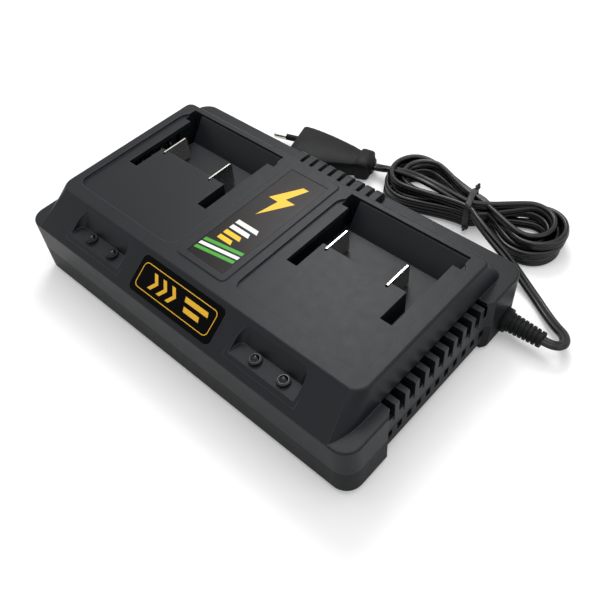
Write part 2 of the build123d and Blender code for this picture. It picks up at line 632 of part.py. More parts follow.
def transformer_nodes() -> None:
    """Build the ferrite core and the wound bobbin around its centre leg."""
    x, y = 0.0, -20.0
    with BuildPart() as core:
        span_box((x - 18, x + 18), (y - 7, y + 7), (PCB_TOP + 3, PCB_TOP + 33))
        for side in (-1, 1):
            window = sorted((x + side * 5, x + side * 13))
            span_box(window, (y - 8, y + 8), (PCB_TOP + 8, PCB_TOP + 28), Mode.SUBTRACT)
    save(core, "transformer_core")
    with BuildPart() as winding:
        span_box((x - 12.6, x + 12.6), (y - 12.5, y + 12.5), (PCB_TOP + 10, PCB_TOP + 26))
        for z in (PCB_TOP + 8.2, PCB_TOP + 26):
            span_box((x - 12.8, x + 12.8), (y - 14, y + 14), (z, z + 1.8))
        for side in (-1, 1):
            edge = sorted((y + side * 7.4, y + side * 16))
            span_box((x - 14, x + 14), edge, (PCB_TOP, PCB_TOP + 8.2))
        span_box((x - 5.2, x + 5.2), (y - 7.2, y + 7.2), (PCB_TOP + 7, PCB_TOP + 29), Mode.SUBTRACT)
    save(winding, "transformer_winding")


def standing_can(node: str, x: float, y: float, radius: float, height: float) -> None:
    """Build one electrolytic capacitor standing on the board."""
    with BuildPart() as can:
        upright(x, y, radius, PCB_TOP, PCB_TOP + height)
        fillet(can.faces().sort_by(Axis.Z)[-1].edges(), 0.8)
        with Locations((x, y, PCB_TOP + 2.6)):
            Torus(radius + 0.5, 0.9, mode=Mode.SUBTRACT)
    save(can, node)


def block_node(node: str, x: tuple, y: tuple, height: float, ease: float = 0.5) -> None:
    """Build one moulded block component standing on the board."""
    with BuildPart() as block:
        span_box(x, y, (PCB_TOP, PCB_TOP + height))
        fillet(block.edges().filter_by(Axis.Z), ease)
    save(block, node)


def heatsink_node(node: str, x: tuple, y: float, height: float) -> None:
    """Build one finned aluminium plate standing on the board."""
    with BuildPart() as sink:
        span_box(x, (y - 1.0, y + 1.0), (PCB_TOP, PCB_TOP + height))
        count = int((x[1] - x[0]) // 6)
        for i in range(count):
            fin = x[0] + 3 + i * 6
            span_box((fin - 0.6, fin + 0.6), (y - 6.0, y), (PCB_TOP + 3, PCB_TOP + height))
    save(sink, node)


def power_device(node: str, x: float, y: float, height: float) -> None:
    """Build one tab-mounted power device standing against its heatsink."""
    top = PCB_TOP + height
    with BuildPart() as device:
        span_box((x - 5, x + 5), (y, y + 4.5), (top - 16, top - 6.5))
        span_box((x - 5, x + 5), (y, y + 1.3), (top - 6.5, top))
        for dx in (-2.54, 0, 2.54):
            span_box((x + dx - 0.4, x + dx + 0.4), (y + 2, y + 2.6), (PCB_TOP, top - 16))
        with Locations((x, y + 0.6, top - 3)):
            Cylinder(1.8, 4, rotation=(90, 0, 0), mode=Mode.SUBTRACT)
    save(device, node)


def chip_node(node: str, x: float, y: float, length: float) -> None:
    """Build one dual in-line chip with its bent legs."""
    with BuildPart() as chip:
        span_box((x - length / 2, x + length / 2), (y - 3.2, y + 3.2), (PCB_TOP + 0.5, PCB_TOP + 4.0))
        count = int(length // 2.54)
        for px in pitch_places(count, 2.54):
            for side in (-1, 1):
                leg = sorted((y + side * 3.1, y + side * 4.1))
                span_box((x + px - 0.5, x + px + 0.5), leg, (PCB_TOP, PCB_TOP + 2.4))
    save(chip, node)


def choke_node() -> None:
    """Build the mains filter choke: a wound ring standing on its base."""
    with BuildPart() as choke:
        with Locations((54.0, -30.0, PCB_TOP + 12.5)):
            Torus(8.0, 3.6, rotation=(90, 0, 0))
        span_box((42, 66), (-35.5, -24.5), (PCB_TOP, PCB_TOP + 2.2))
        span_box((49, 59), (-33.5, -26.5), (PCB_TOP + 1, PCB_TOP + 4.0))
    save(choke, "filter_choke")


def fuse_node() -> None:
    """Build the mains fuse with its end caps in two clips."""
    with BuildPart() as fuse:
        with Locations((64.0, 2.0, PCB_TOP + 5.0)):
            Cylinder(2.3, 14, rotation=(90, 0, 0))
        for y in (-5.5, 9.5):
            with Locations((64.0, y, PCB_TOP + 5.0)):
                Cylinder(2.6, 5, rotation=(90, 0, 0))
            span_box((61.8, 66.2), (y - 2, y + 2), (PCB_TOP, PCB_TOP + 4))
    save(fuse, "mains_fuse")


def electronics() -> None:
    """Place every component on the main board."""
    board_node()
    transformer_nodes()
    standing_can("bulk_capacitor", 32.0, -30.0, 9.0, 28.0)
    standing_can("output_capacitor_left", -28.0, -34.0, 5.0, 21.0)
    standing_can("output_capacitor_right", -28.0, -20.0, 5.0, 21.0)
    choke_node()
    block_node("line_capacitor", (70, 78), (-38, -20), 14.0)
    block_node("bridge_rectifier", (46, 61), (-14, -10), 15.0)
    fuse_node()
    heatsink_node("primary_heatsink", (20, 44), -8.0, 17.0)
    power_device("switching_transistor", 30.0, -7.0, 17.5)
    heatsink_node("secondary_heatsink", (-72, -36), -34.0, 26.0)
    power_device("output_rectifier", -54.0, -33.0, 22.0)
    chip_node("optocoupler", -8.0, 8.0, 5.2)
    chip_node("controller_chip", -40.0, 12.0, 20.4)
    block_node("mains_connector", (74, 86), (18, 28), 11.0)


# ====================================================== relief, cord, plug
def relief_node() -> None:
    """Build the ringed strain relief with its neck and inner flange."""
    face = BODY_W / 2
    profile = [
        (face - WALL - 3.0, 0.0),
        (face - WALL - 3.0, 5.3),
        (face - WALL - 0.2, 5.3),
        (face - WALL - 0.2, NECK_R),
        (face + 0.3, NECK_R),
        (face + 0.3, RELIEF_R[0] + 1.2),
        (face + 2.2, RELIEF_R[0] + 1.2),
        (face + 2.2, RELIEF_R[0]),
        (face + RELIEF_LEN, RELIEF_R[1]),
        (face + RELIEF_LEN, 0.0),
    ]
    with BuildPart() as relief:
        with BuildSketch(Plane(origin=(0, RELIEF_Y, RELIEF_Z), x_dir=(1, 0, 0), z_dir=(0, -1, 0))):
            Polygon(*profile, align=None)
        revolve(axis=Axis((0, RELIEF_Y, RELIEF_Z), (1, 0, 0)))
        for i in range(RELIEF_RINGS):
            part_way = (i + 0.5) / RELIEF_RINGS
            x = face + 3.4 + part_way * (RELIEF_LEN - 4.6)
            ring_r = RELIEF_R[0] + (RELIEF_R[1] - RELIEF_R[0]) * part_way
            with Locations((x, RELIEF_Y, RELIEF_Z)):
                Cylinder(ring_r + 1.0, 1.2, rotation=(0, 90, 0), mode=Mode.SUBTRACT)
                Cylinder(ring_r - 0.9, 1.2, rotation=(0, 90, 0))
    save(relief, "strain_relief")


def print_radii(route: list) -> list:
    """Return the blend radius of each inner point of a route, and print them."""
    radii = []
    for before, here, after in zip(route, route[1:], route[2:]):
        first = Vector(*here) - Vector(*before)
        second = Vector(*after) - Vector(*here)
        turn = math.radians(first.get_angle(second))
        radii.append(0.45 * min(first.length, second.length) / math.tan(turn / 2))
    print("radii", [round(r, 1) for r in radii])
    return radii


def tube_node(node: str, route: list, radius: float) -> None:
    """Build one cord run: straight runs joined by tangent arcs."""
    radii = print_radii(route)
    with BuildPart() as tube:
        with BuildLine() as path:
            FilletPolyline(*route, radius=radii)
        with BuildSketch(Plane(origin=path.line @ 0, z_dir=path.line % 0)):
            Circle(radius)
        sweep()
    ideal = math.pi * radius ** 2 * sum(e.length for e in path.edges())
    print(node, "section x length", round(ideal), round(tube.part.volume))
    save(tube, node)


def hank_node() -> None:
    """Build the tied coil as one closed solid of its outer shape."""
    with BuildPart() as hank:
        for x, y, half_x, half_y in (HANK_LEFT, HANK_RIGHT):
            with BuildSketch(Plane.XY):
                with Locations((x, y)):
                    Ellipse(half_x, half_y)
            extrude(amount=HANK_H)
        fillet(hank.faces().group_by(Axis.Z)[-1].edges(), 3.0)
        span_box(WAIST_X, WAIST_Y, WAIST_Z)
    save(hank, "cord_hank")
    mid = sum(WAIST_X) / 2
    high = (WAIST_Z[1] + WAIST_Z[0]) / 2
    with BuildPart() as tie:
        start = (mid - TIE_W / 2, sum(WAIST_Y) / 2, high)
        with BuildSketch(Plane(origin=start, x_dir=(0, 1, 0), z_dir=(1, 0, 0))):
            for grow, mode in ((TIE_GAP + TIE_T, Mode.ADD), (TIE_GAP, Mode.SUBTRACT)):
                wide = WAIST_Y[1] - WAIST_Y[0] + 2 * grow
                tall = WAIST_Z[1] - WAIST_Z[0] + 2 * grow
                Rectangle(wide, tall, mode=mode)
        extrude(amount=TIE_W)
    save(tie, "cord_tie")


def plug_plane() -> Plane:
    """Return the plug's own plane: X towards its cord, origin mid pin face."""
    turn = math.radians(PLUG_TURN)
    return Plane(
        origin=(PLUG_AT[0], PLUG_AT[1], PLUG_T / 2),
        x_dir=(math.cos(turn), math.sin(turn), 0),
        z_dir=(0, 0, 1),
    )


def plug_nodes() -> None:
    """Build the flat two-pin plug on its broad side, with its pins and sleeves."""
    lie = plug_plane()
    with BuildPart() as body:
        with BuildSketch(lie.offset(-PLUG_T / 2)):
            Polygon(*PLUG_OUTLINE, align=None)
        extrude(amount=PLUG_T)
        fillet(body.edges().filter_by(Axis.Z), 2.5)
        flats = body.faces().sort_by(Axis.Z)
        fillet(flats[-1].edges() + flats[0].edges(), 2.0)
        for dy in (-PIN_GAP / 2, PIN_GAP / 2):
            seat = Plane(origin=lie.from_local_coords(Vector(0, dy, 0)), z_dir=lie.x_dir)
            with BuildSketch(seat):
                Circle(PIN_R)
            extrude(amount=-SLEEVE_LEN)
            with BuildSketch(seat.offset(-SLEEVE_LEN)):
                Circle(PIN_NECK_R)
            extrude(amount=SLEEVE_LEN + PIN_ROOT, mode=Mode.SUBTRACT)
    save(body, "plug_body")
    for name, dy in (("near", -PIN_GAP / 2), ("far", PIN_GAP / 2)):
        with BuildPart() as pin:
            root = Plane(origin=lie.from_local_coords(Vector(PIN_ROOT, dy, 0)), z_dir=-lie.x_dir)
            with BuildSketch(root):
                Circle(PIN_NECK_R)
            extrude(amount=PIN_ROOT + SLEEVE_LEN + 1)
            with BuildSketch(root.offset(PIN_ROOT + SLEEVE_LEN)):
                Circle(PIN_R)
            extrude(amount=PIN_LEN - SLEEVE_LEN)
            fillet(pin.edges().filter_by(GeomType.CIRCLE).sort_by(Axis.X)[0], 1.2)
        save(pin, f"plug_pin_{name}")


def cord_tail_route() -> list:
    """Return the short run from the plug's collar to the coil."""
    lie = plug_plane()
    start = lie.from_local_coords(Vector(PLUG_LEN, 0, 0))
    bend = lie.from_local_coords(Vector(PLUG_LEN + 5.0, 0, 0))
    return [tuple(start), tuple(bend), (HANK_LEFT[0] - HANK_LEFT[2] - 0.3, 112.0, TAIL_Z)]


def inner_wires() -> None:
    """Build the wires between relief, board, terminal blocks and lamp boards."""
    with BuildPart() as wires:
        for dy in (-1.4, 1.4):
            inner = BODY_W / 2 - WALL - 3.0
            route = [
                (inner, RELIEF_Y + dy, RELIEF_Z),
                (inner - 2.2 + dy * 0.4, RELIEF_Y + dy, RELIEF_Z),
                (inner - 2.4 + dy * 0.4, RELIEF_Y - 4.0, 11.0),
                (inner - 3.6 + dy, 38.0, 14.5),
                (inner - 12.6 + dy, 23.0 + dy * -1.2, 16.0),
                (86.0, 23.0 + dy * -1.2, 16.0),
            ]
            with BuildLine() as path:
                FilletPolyline(*route, radius=print_radii(route))
            with BuildSketch(Plane(origin=path.line @ 0, z_dir=path.line % 0)):
                Circle(0.8)
            sweep()
    save(wires, "mains_wires")
    for name, side in (("left", -1), ("right", 1)):
        with BuildPart() as leads:
            for dx in BLADE_DX:
                upright(side * BAY_X + dx, -3.0, 1.1, PCB_TOP, TROUGH_Z - 4)
        save(leads, f"bay_leads_{name}")
        ribbon = (
            (LED_Y - 0.5, LED_BOARD_Z),
            (LED_Y + 0.5, LED_BOARD_Z),
            (LED_Y + 0.5, 24.0),
            (PCB_Y[0] + 4.5, PCB_TOP + 3),
            (PCB_Y[0] + 4.5, PCB_TOP),
            (PCB_Y[0] + 3.5, PCB_TOP),
            (PCB_Y[0] + 3.5, PCB_TOP + 2.6),
            (LED_Y - 0.5, 23.0),
        )
        with BuildPart() as flex:
            add(side_prism(ribbon, side * BAY_X - 4, side * BAY_X + 4))
        save(flex, f"lamp_ribbon_{name}")


top_shell_solid()
bottom_shell_solid()
badge_node()
label_node()
lamp_nodes()
contact_nodes()
under_nodes()
electronics()
relief_node()
tube_node("cord_lead", list(LEAD_ROUTE), CORD_R)
hank_node()
plug_nodes()
tube_node("cord_tail", cord_tail_route(), CORD_R)
inner_wires()
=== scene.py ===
"""Twin-bay battery charger: camera, light, finishes, and the pieces that CAD leaves out.

Everything is built in metres in the charger's own frame: X along the housing, Y from the
sloping front to the rear ledge, Z up, with the origin on the floor under the housing.
Measures are written in millimetres unless their comment says otherwise.
"""

import logging
import math
from dataclasses import dataclass, field
from enum import Enum

import bmesh
import bpy
from bmesh.types import BMesh
from bpy.types import Material, Mesh, Node, NodeSocket, NodeTree, Object
from mathutils import Matrix, Vector


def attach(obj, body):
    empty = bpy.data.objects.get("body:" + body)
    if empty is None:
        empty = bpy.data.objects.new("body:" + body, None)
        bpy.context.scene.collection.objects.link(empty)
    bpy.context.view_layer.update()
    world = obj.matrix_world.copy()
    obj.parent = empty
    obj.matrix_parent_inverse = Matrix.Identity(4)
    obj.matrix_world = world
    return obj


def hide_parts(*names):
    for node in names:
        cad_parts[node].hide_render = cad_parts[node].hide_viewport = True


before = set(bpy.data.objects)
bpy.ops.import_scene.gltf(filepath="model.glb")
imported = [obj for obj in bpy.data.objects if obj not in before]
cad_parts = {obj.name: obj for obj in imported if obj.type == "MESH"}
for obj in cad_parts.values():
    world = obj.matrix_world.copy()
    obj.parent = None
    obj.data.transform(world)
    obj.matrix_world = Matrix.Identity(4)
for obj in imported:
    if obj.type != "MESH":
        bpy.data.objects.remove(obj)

LOG = logging.getLogger("charger")
MM = 0.001
ROOT = "root"
Point = tuple[float, float, float]
Flat = tuple[float, float]
Colour = tuple[float, float, float, float]
Pieces = list[Object]
Stop = tuple[Point, float]     # a control point of the cord, and its lean in degrees


# ---- measures
BAY_X = 59.3                   # bay centre
LABEL_TOP = 51.65              # printed face of the label
LABEL_HALF = 12.5
LABEL_Y = (-36.2, 38.4)
PANEL_SLOPE = math.atan2(14.5, 19.9)
PANEL_MID = Vector((0.0, -56.55, 43.75))
BADGE_PROUD = 0.2
LAMP_DX = (-6.9, 10.1)         # red and green lamp from the bay centre
LAMP_Y = -56.6
RELIEF_END = (134.0, 54.0, 10.5)
TIE_X = 54.0                   # where the tie holds the coil
DRIFT_MM = 14.0                # size of the slow drift in colour
CLOUD_MM = 5.0                 # size of the patches that differ in gloss
EDGE_WEAR_AND_HIGHLIGHT = "5a6066"              # colour of lightened edges: handling wear and painted highlight
SCREWS = ((-99.0, -52.0), (99.0, -52.0), (-99.0, 53.0), (99.0, 53.0), (0.0, 52.0))


# ---- helpers
def srgb(code: str, alpha: float = 1.0) -> Colour:
    """Turn a display colour into the linear colour that shaders take.

    Args:
        code: Six hexadecimal digits, without a hash.
        alpha: Opacity.

    Returns:
        Linear red, green, blue and alpha.
    """
    channels = [int(code[i:i + 2], 16) / 255 for i in (0, 2, 4)]
    linear = [c / 12.92 if c <= 0.04045 else ((c + 0.055) / 1.055) ** 2.4 for c in channels]
    return (linear[0], linear[1], linear[2], alpha)


def add(tree: NodeTree, kind: str, settings: dict | None = None, **inputs: object) -> Node:
    """Add one node, set its options and fill or link its inputs.

    Args:
        tree: The tree that it goes into.
        kind: The node's type.
        settings: Options that are set on the node itself.
        **inputs: Input name with underscores for spaces, or i and a number, to a value or a socket.

    Returns:
        The new node.
    """
    node = tree.nodes.new(kind)
    for option, value in (settings or {}).items():
        setattr(node, option, value)
    for name, value in inputs.items():
        key = int(name[1:]) if name[0] == "i" and name[1:].isdigit() else name.replace("_", " ")
        if isinstance(value, NodeSocket):
            tree.links.new(value, node.inputs[key])
        else:
            node.inputs[key].default_value = value
    return node


def new_material(name: str) -> Material:
    """Return an empty node material, named after the real one."""
    material = bpy.data.materials.new(name)
    material.use_nodes = True
    material.node_tree.nodes.clear()
    return material


# ---- finishes
class Grain(Enum):
    """How a surface's fine relief is made."""

    MOULDED = "spark-eroded mould texture"
    BRUSHED = "drawn or rolled metal"
    POLISHED = "polished mould or film"
    LAYERED = "wound tape or wire"


@dataclass(frozen=True)
class Finish:
    """One opaque finish, with its detail in real sizes.

    Args:
        name: The real material.
        colour: Main colour.
        second: Colour that it drifts towards.
        roughness: Middle roughness.
        spread: How far roughness wanders either way.
        metallic: One for bare metal.
        grain: How the fine relief is made.
        grain_mm: Size of one grain.
        depth_mm: Height of the relief.
        edge: How much edges are lightened, as handling wear and painted highlight, from 0 to 1.
        soft_mm: Radius that edges are rounded to in shading.
        specular: Specular level.
    """

    name: str
    colour: str
    second: str
    roughness: float
    spread: float = 0.05
    metallic: float = 0.0
    grain: Grain = Grain.MOULDED
    grain_mm: float = 0.35
    depth_mm: float = 0.01
    edge: float = 0.0
    soft_mm: float = 0.0
    specular: float = 0.5

    def relief(self, tree: NodeTree, place: NodeSocket) -> NodeSocket:
        """Add the nodes of the fine relief.

        Args:
            tree: The material's nodes.
            place: Object coordinates.

        Returns:
            The height of the relief.
        """
        density = 1.0 / (self.grain_mm * MM)
        if self.grain is Grain.LAYERED:
            wave = add(tree, "ShaderNodeTexWave", {"bands_direction": "Z"}, Vector=place,
                       Scale=0.31 * density, Distortion=0.4)
            return wave.outputs["Fac"]
        stretch = (0.06, 1.0, 1.0) if self.grain is Grain.BRUSHED else (1.0, 1.0, 1.0)
        drawn = add(tree, "ShaderNodeMapping", Vector=place, Scale=stretch)
        fine = add(tree, "ShaderNodeTexNoise", Vector=drawn.outputs[0], Scale=density, Detail=2.0)
        if self.grain is not Grain.MOULDED:
            return fine.outputs["Fac"]
        coarse = add(tree, "ShaderNodeTexNoise", Vector=place, Scale=density / 2.4, Detail=1.0)
        peaks = add(tree, "ShaderNodeMath", {"operation": "POWER"}, i0=fine.outputs["Fac"], i1=1.6)
        mixed = add(tree, "ShaderNodeMath", {"operation": "MULTIPLY_ADD"}, i0=coarse.outputs["Fac"], i1=0.5,
                    i2=peaks.outputs[0])
        return mixed.outputs[0]

    def build(self) -> Material:
        """Make the node material.

        Returns:
            The finished material.
        """
        material = new_material(self.name)
        tree = material.node_tree
        place = add(tree, "ShaderNodeTexCoord").outputs["Object"]
        drift = add(tree, "ShaderNodeTexNoise", Vector=place, Scale=1.0 / (DRIFT_MM * MM), Detail=3.0)
        blend = add(tree, "ShaderNodeMix", {"data_type": "RGBA"}, i0=drift.outputs["Fac"],
                    i6=srgb(self.colour), i7=srgb(self.second))
        colour = blend.outputs[2]
        cloud = add(tree, "ShaderNodeTexNoise", Vector=place, Scale=1.0 / (CLOUD_MM * MM), Detail=3.0)
        rough = add(tree, "ShaderNodeMath", {"operation": "MULTIPLY_ADD"}, i0=cloud.outputs["Fac"],
                    i1=2 * self.spread, i2=self.roughness - self.spread)
        bump = add(tree, "ShaderNodeBump", Strength=0.6, Distance=self.depth_mm * MM,
                   Height=self.relief(tree, place))
        if self.soft_mm:
            soft = add(tree, "ShaderNodeBevel", {"samples": 4}, Radius=self.soft_mm * MM).outputs[0]
            tree.links.new(soft, bump.inputs["Normal"])
            # Edges are blended towards a pale grey: partly handling wear, partly a painted highlight along the
            # rounded edges.
            hard = add(tree, "ShaderNodeNewGeometry").outputs["Normal"]
            turn = add(tree, "ShaderNodeVectorMath", {"operation": "DOT_PRODUCT"}, i0=hard, i1=soft)
            bent = add(tree, "ShaderNodeMath", {"operation": "SUBTRACT"}, i0=1.0, i1=turn.outputs["Value"])
            worn_and_lit_edge_mask = add(tree, "ShaderNodeMath", {"operation": "MULTIPLY", "use_clamp": True},
                       i0=bent.outputs[0], i1=5.0 * self.edge)
            worn_and_lit_edges = add(tree, "ShaderNodeMix", {"data_type": "RGBA"}, i0=worn_and_lit_edge_mask.outputs[0], i6=colour,
                         i7=srgb(EDGE_WEAR_AND_HIGHLIGHT))
            colour = worn_and_lit_edges.outputs[2]
        surface = add(
            tree, "ShaderNodeBsdfPrincipled", Base_Color=colour, Roughness=rough.outputs[0],
            Metallic=self.metallic, Normal=bump.outputs[0], Specular_IOR_Level=self.specular,
        )
        add(tree, "ShaderNodeOutputMaterial", Surface=surface.outputs[0])
        return material


@dataclass(frozen=True)
class ClearLens:
    """Water-clear moulded epoxy of a lamp, tinted near-black as painted shade of its dark inside where its cup
    does not show.

    Args:
        name: The real material.
        shade_tint: Near-black colour of the resin, painted shade of the lamp's dark inside.
        clear: Share of the light that goes through.
    """

    name: str
    shade_tint: str
    clear: float

    def build(self) -> Material:
        """Make the node material."""
        material = new_material(self.name)
        tree = material.node_tree
        place = add(tree, "ShaderNodeTexCoord").outputs["Object"]
        ripple = add(tree, "ShaderNodeTexNoise", Vector=place, Scale=1.0 / (0.8 * MM), Detail=2.0)
        rough = add(tree, "ShaderNodeMath", {"operation": "MULTIPLY_ADD"}, i0=ripple.outputs["Fac"], i1=0.06,
                    i2=0.1)
        # The near-black base colour, with little light let through, paints the shade of the lamp's inside.
        surface = add(tree, "ShaderNodeBsdfPrincipled", Base_Color=srgb(self.shade_tint),
                      Roughness=rough.outputs[0], Transmission_Weight=self.clear, IOR=1.4,
                      Specular_IOR_Level=0.3)
        add(tree, "ShaderNodeOutputMaterial", Surface=surface.outputs[0])
        return material


FINISHES: dict[str, Finish | ClearLens] = {
    # A satin black that greys under soft light; the mould grain is drawn twice as coarse, to show at all.
    "abs": Finish("black ABS, spark-eroded", "15171a", "191b1f", 0.38, 0.05, grain_mm=0.32, depth_mm=0.05,
                  edge=0.5, soft_mm=0.5, specular=0.17),
    # The lower shell comes from another mould: a touch duller and darker.
    "abs_lower": Finish("black ABS, lower shell", "141618", "18191b", 0.46, 0.05, grain_mm=0.34,
                        depth_mm=0.05, edge=0.4, soft_mm=0.5, specular=0.12),
    # Piano-black plate: nearly no colour of its own, only a faint sharp gloss.
    "badge": Finish("gloss black acrylic", "020202", "030303", 0.14, 0.03, grain=Grain.POLISHED,
                    grain_mm=6.0, depth_mm=0.008, specular=0.04),
    # Warm black ink seen through film, so it is browner than the housing.
    "label": Finish("printed polyester film, black ground", "0d0807", "110b09", 0.3, 0.05,
                    grain=Grain.POLISHED, grain_mm=1.4, depth_mm=0.006, specular=0.14),
    # Dull and grippy, with no highlight.
    "rubber": Finish("moulded rubber", "18181a", "202022", 0.82, 0.06, grain_mm=0.2, depth_mm=0.03),
    # Cool grey metal with a light drawn grain.
    "zinc": Finish("zinc-plated steel", "a9adb0", "c0c2c0", 0.32, 0.1, 1.0, Grain.BRUSHED, 0.3, 0.01),
    # Warm bright metal, the brightest thing in the bays.
    "nickel": Finish("nickel-plated brass", "cfcdc6", "dedcd4", 0.22, 0.08, 1.0, Grain.BRUSHED, 0.18, 0.006),
    # Dull black with a dry, faintly mottled look from its fibres.
    "nylon": Finish("glass-filled nylon", "0d0e0f", "121314", 0.5, 0.07, grain_mm=0.25, depth_mm=0.03,
                    specular=0.18),
    # Deep green with a soft wet shine.
    "board": Finish("green solder mask on glass laminate", "17492b", "1f5a35", 0.34, 0.06, grain_mm=0.6,
                    depth_mm=0.03),
    # Stone-like dark grey.
    "ferrite": Finish("sintered ferrite", "26272a", "313236", 0.6, 0.08, grain_mm=0.25, depth_mm=0.04),
    # Layered amber tape with fine steps between its turns.
    "tape": Finish("yellow polyester tape over windings", "c39a1c", "d2aa31", 0.32, 0.06,
                   grain=Grain.LAYERED, grain_mm=1.6, depth_mm=0.06),
    # Tight shiny film in dark blue.
    "sleeve": Finish("shrink sleeve on a capacitor can", "17233c", "1d2c49", 0.28, 0.05,
                     grain=Grain.POLISHED, grain_mm=2.0, depth_mm=0.02),
    # Reddish wire under varnish, ribbed turn by turn.
    "copper": Finish("enamelled copper wire", "8c4322", "a8562e", 0.3, 0.08, 1.0, Grain.LAYERED, 0.9, 0.15),
    # Plain mustard plastic.
    "yellow_case": Finish("moulded yellow film-capacitor case", "b99829", "c9a93a", 0.4, 0.05, grain_mm=0.3,
                          depth_mm=0.02),
    # Matte charcoal, very fine.
    "epoxy": Finish("moulded black epoxy", "141416", "1b1b1e", 0.48, 0.07, grain_mm=0.15, depth_mm=0.02),
    # Off-white and smooth like china.
    "ceramic": Finish("glazed ceramic fuse tube", "d6d3c8", "e1ded4", 0.3, 0.06, grain=Grain.POLISHED,
                      grain_mm=1.0, depth_mm=0.01),
    # Grey metal with long lines from its die.
    "aluminium": Finish("extruded aluminium", "8f9396", "a5a9ab", 0.38, 0.08, 1.0, Grain.BRUSHED, 0.25, 0.01),
    # Cream plastic, slightly waxy.
    "white_nylon": Finish("natural nylon connector", "cfcbbf", "dcd8cd", 0.45, 0.06, grain_mm=0.25,
                          depth_mm=0.02),
    # Dark red plastic skin.
    "wire": Finish("red PVC wire insulation", "6f1f19", "842a22", 0.4, 0.06, grain_mm=0.3, depth_mm=0.02),
    # Supple black skin whose curves catch long soft highlights.
    "cord_pvc": Finish("flexible black PVC sheath", "0b0c0d", "0f1011", 0.26, 0.06, grain_mm=0.5,
                       depth_mm=0.02, specular=0.32),
    # The plug's harder PVC is flatter and a little greyer.
    "plug_pvc": Finish("moulded black PVC", "08090a", "0c0d0e", 0.5, 0.06, grain_mm=0.3, depth_mm=0.04,
                       edge=0.2, soft_mm=0.3, specular=0.14),
    # Plastic over a wire: dull, with small kinks.
    "tie": Finish("plastic-covered tie wire", "17181a", "1e1f21", 0.5, 0.08, grain_mm=0.8, depth_mm=0.08,
                  specular=0.4),
    # Foil that flashes warm where it meets the light.
    "gold": Finish("gold foil print", "d9a21f", "e3b234", 0.3, 0.05, 0.2, Grain.POLISHED, 1.2, 0.006,
                   specular=0.3),
    # Tiny bright parts that make the lens sparkle.
    "die": Finish("silvered lamp cup", "c9c5ba", "dedacd", 0.2, 0.06, 1.0, Grain.BRUSHED, 0.1, 0.004),
    # Clear resin tinted near-black as painted shade of the hollow behind it: black glass with small lights in
    # it.
    "lens": ClearLens("clear epoxy lens", "08090a", 0.3),
}
# Opaque screen inks: flat clean colours under the film's even shine.
for hue, one, two in (("yellow", "f0bb1c", "f4c42f"), ("white", "e6e6e3", "ecece9"),
                      ("green", "3f9a2f", "4cab3a")):
    FINISHES[hue + "_ink"] = Finish(hue + " ink under film", one, two, 0.3, 0.04, grain=Grain.POLISHED,
                                    grain_mm=1.4, depth_mm=0.006, specular=0.2)

# What wears each finish, by the starts of node names. The cord's own nodes are the rest.
WEARERS = {
    "abs": "top_shell", "abs_lower": "bottom_shell", "badge": "front_badge", "label": "label_plate",
    "rubber": "rubber_feet", "zinc": "case_screws board_screws", "board": "main_board led_board",
    "ferrite": "transformer_core", "tape": "transformer_winding", "copper": "filter_choke",
    "sleeve": "bulk_capacitor output_capacitor", "yellow_case": "line_capacitor",
    "epoxy": "bridge_rectifier switching_transistor output_rectifier optocoupler controller_chip",
    "ceramic": "mains_fuse", "aluminium": "primary_heatsink secondary_heatsink",
    "white_nylon": "mains_connector", "wire": "mains_wires bay_leads lamp_ribbon",
    "plug_pvc": "strain_relief plug_body", "tie": "cord_tie", "nickel": "plug_pin blade_",
    "nylon": "terminal_block lamp_collar", "lens": "lamp_left lamp_right",
}


class Library:
    """Builds each finish once and hands it out by name."""

    def __init__(self) -> None:
        """Start with no finish built."""
        self.made: dict[str, Material] = {}

    def get(self, name: str) -> Material:
        """Return the finish called name, building it on first use."""
        if name not in self.made:
            self.made[name] = FINISHES[name].build()
        return self.made[name]

    def dress_cad(self) -> int:
        """Give every CAD node its finish, and return how many there are."""
        for node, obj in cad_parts.items():
            name = next((finish for finish, starts in WEARERS.items()
                         if node.startswith(tuple(starts.split()))), "cord_pvc")
            obj.data.materials.clear()
            obj.data.materials.append(self.get(name))
        return len(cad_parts)


# ---- piece making
def put(name: str, data: bpy.types.ID) -> Object:
    """Put a new object with this data in the scene, and return it."""
    obj = bpy.data.objects.new(name, data)
    bpy.context.scene.collection.objects.link(obj)
    return obj


def new_piece(mesh: Mesh, material: Material) -> Object:
    """Put one finished mesh in the scene as a piece of the charger.

    Args:
        mesh: Its mesh, already in place and with the piece's name.
        material: Its finish.

    Returns:
        The new object.
    """
    obj = put(mesh.name, mesh)
    mesh.materials.clear()
    mesh.materials.append(material)
    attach(obj, ROOT)
    return obj


def to_mesh(name: str, built: BMesh, smooth_below: float = 0.0) -> Mesh:
    """Turn a built form into a mesh and free it.

    Args:
        name: The mesh's name.
        built: The form, whose faces are turned outwards here.
        smooth_below: Edges that bend less than this many degrees are shaded smooth.

    Returns:
        The mesh.
    """
    bmesh.ops.recalc_face_normals(built, faces=built.faces[:])
    mesh = bpy.data.meshes.new(name)
    built.to_mesh(mesh)
    built.free()
    if smooth_below:
        mesh.shade_smooth()
        mesh.set_sharp_from_angle(angle=math.radians(smooth_below))
    return mesh


def loft(rings: list[list[Vector]], closed: bool = False) -> BMesh:
    """Skin a row of rings that have equal corner counts.

    Args:
        rings: The rings, in metres.
        closed: Join the last ring to the first, instead of capping both.

    Returns:
        The closed form.
    """
    mesh = bmesh.new()
    rows = [[mesh.verts.new(corner) for corner in ring] for ring in rings]
    for one, two in zip(rows, rows[1:] + (rows[:1] if closed else [])):
        for a in range(len(one)):
            b = (a + 1) % len(one)
            mesh.faces.new((one[a], one[b], two[b], two[a]))
    if not closed:
        mesh.faces.new(rows[0][::-1])
        mesh.faces.new(rows[-1])
    return mesh


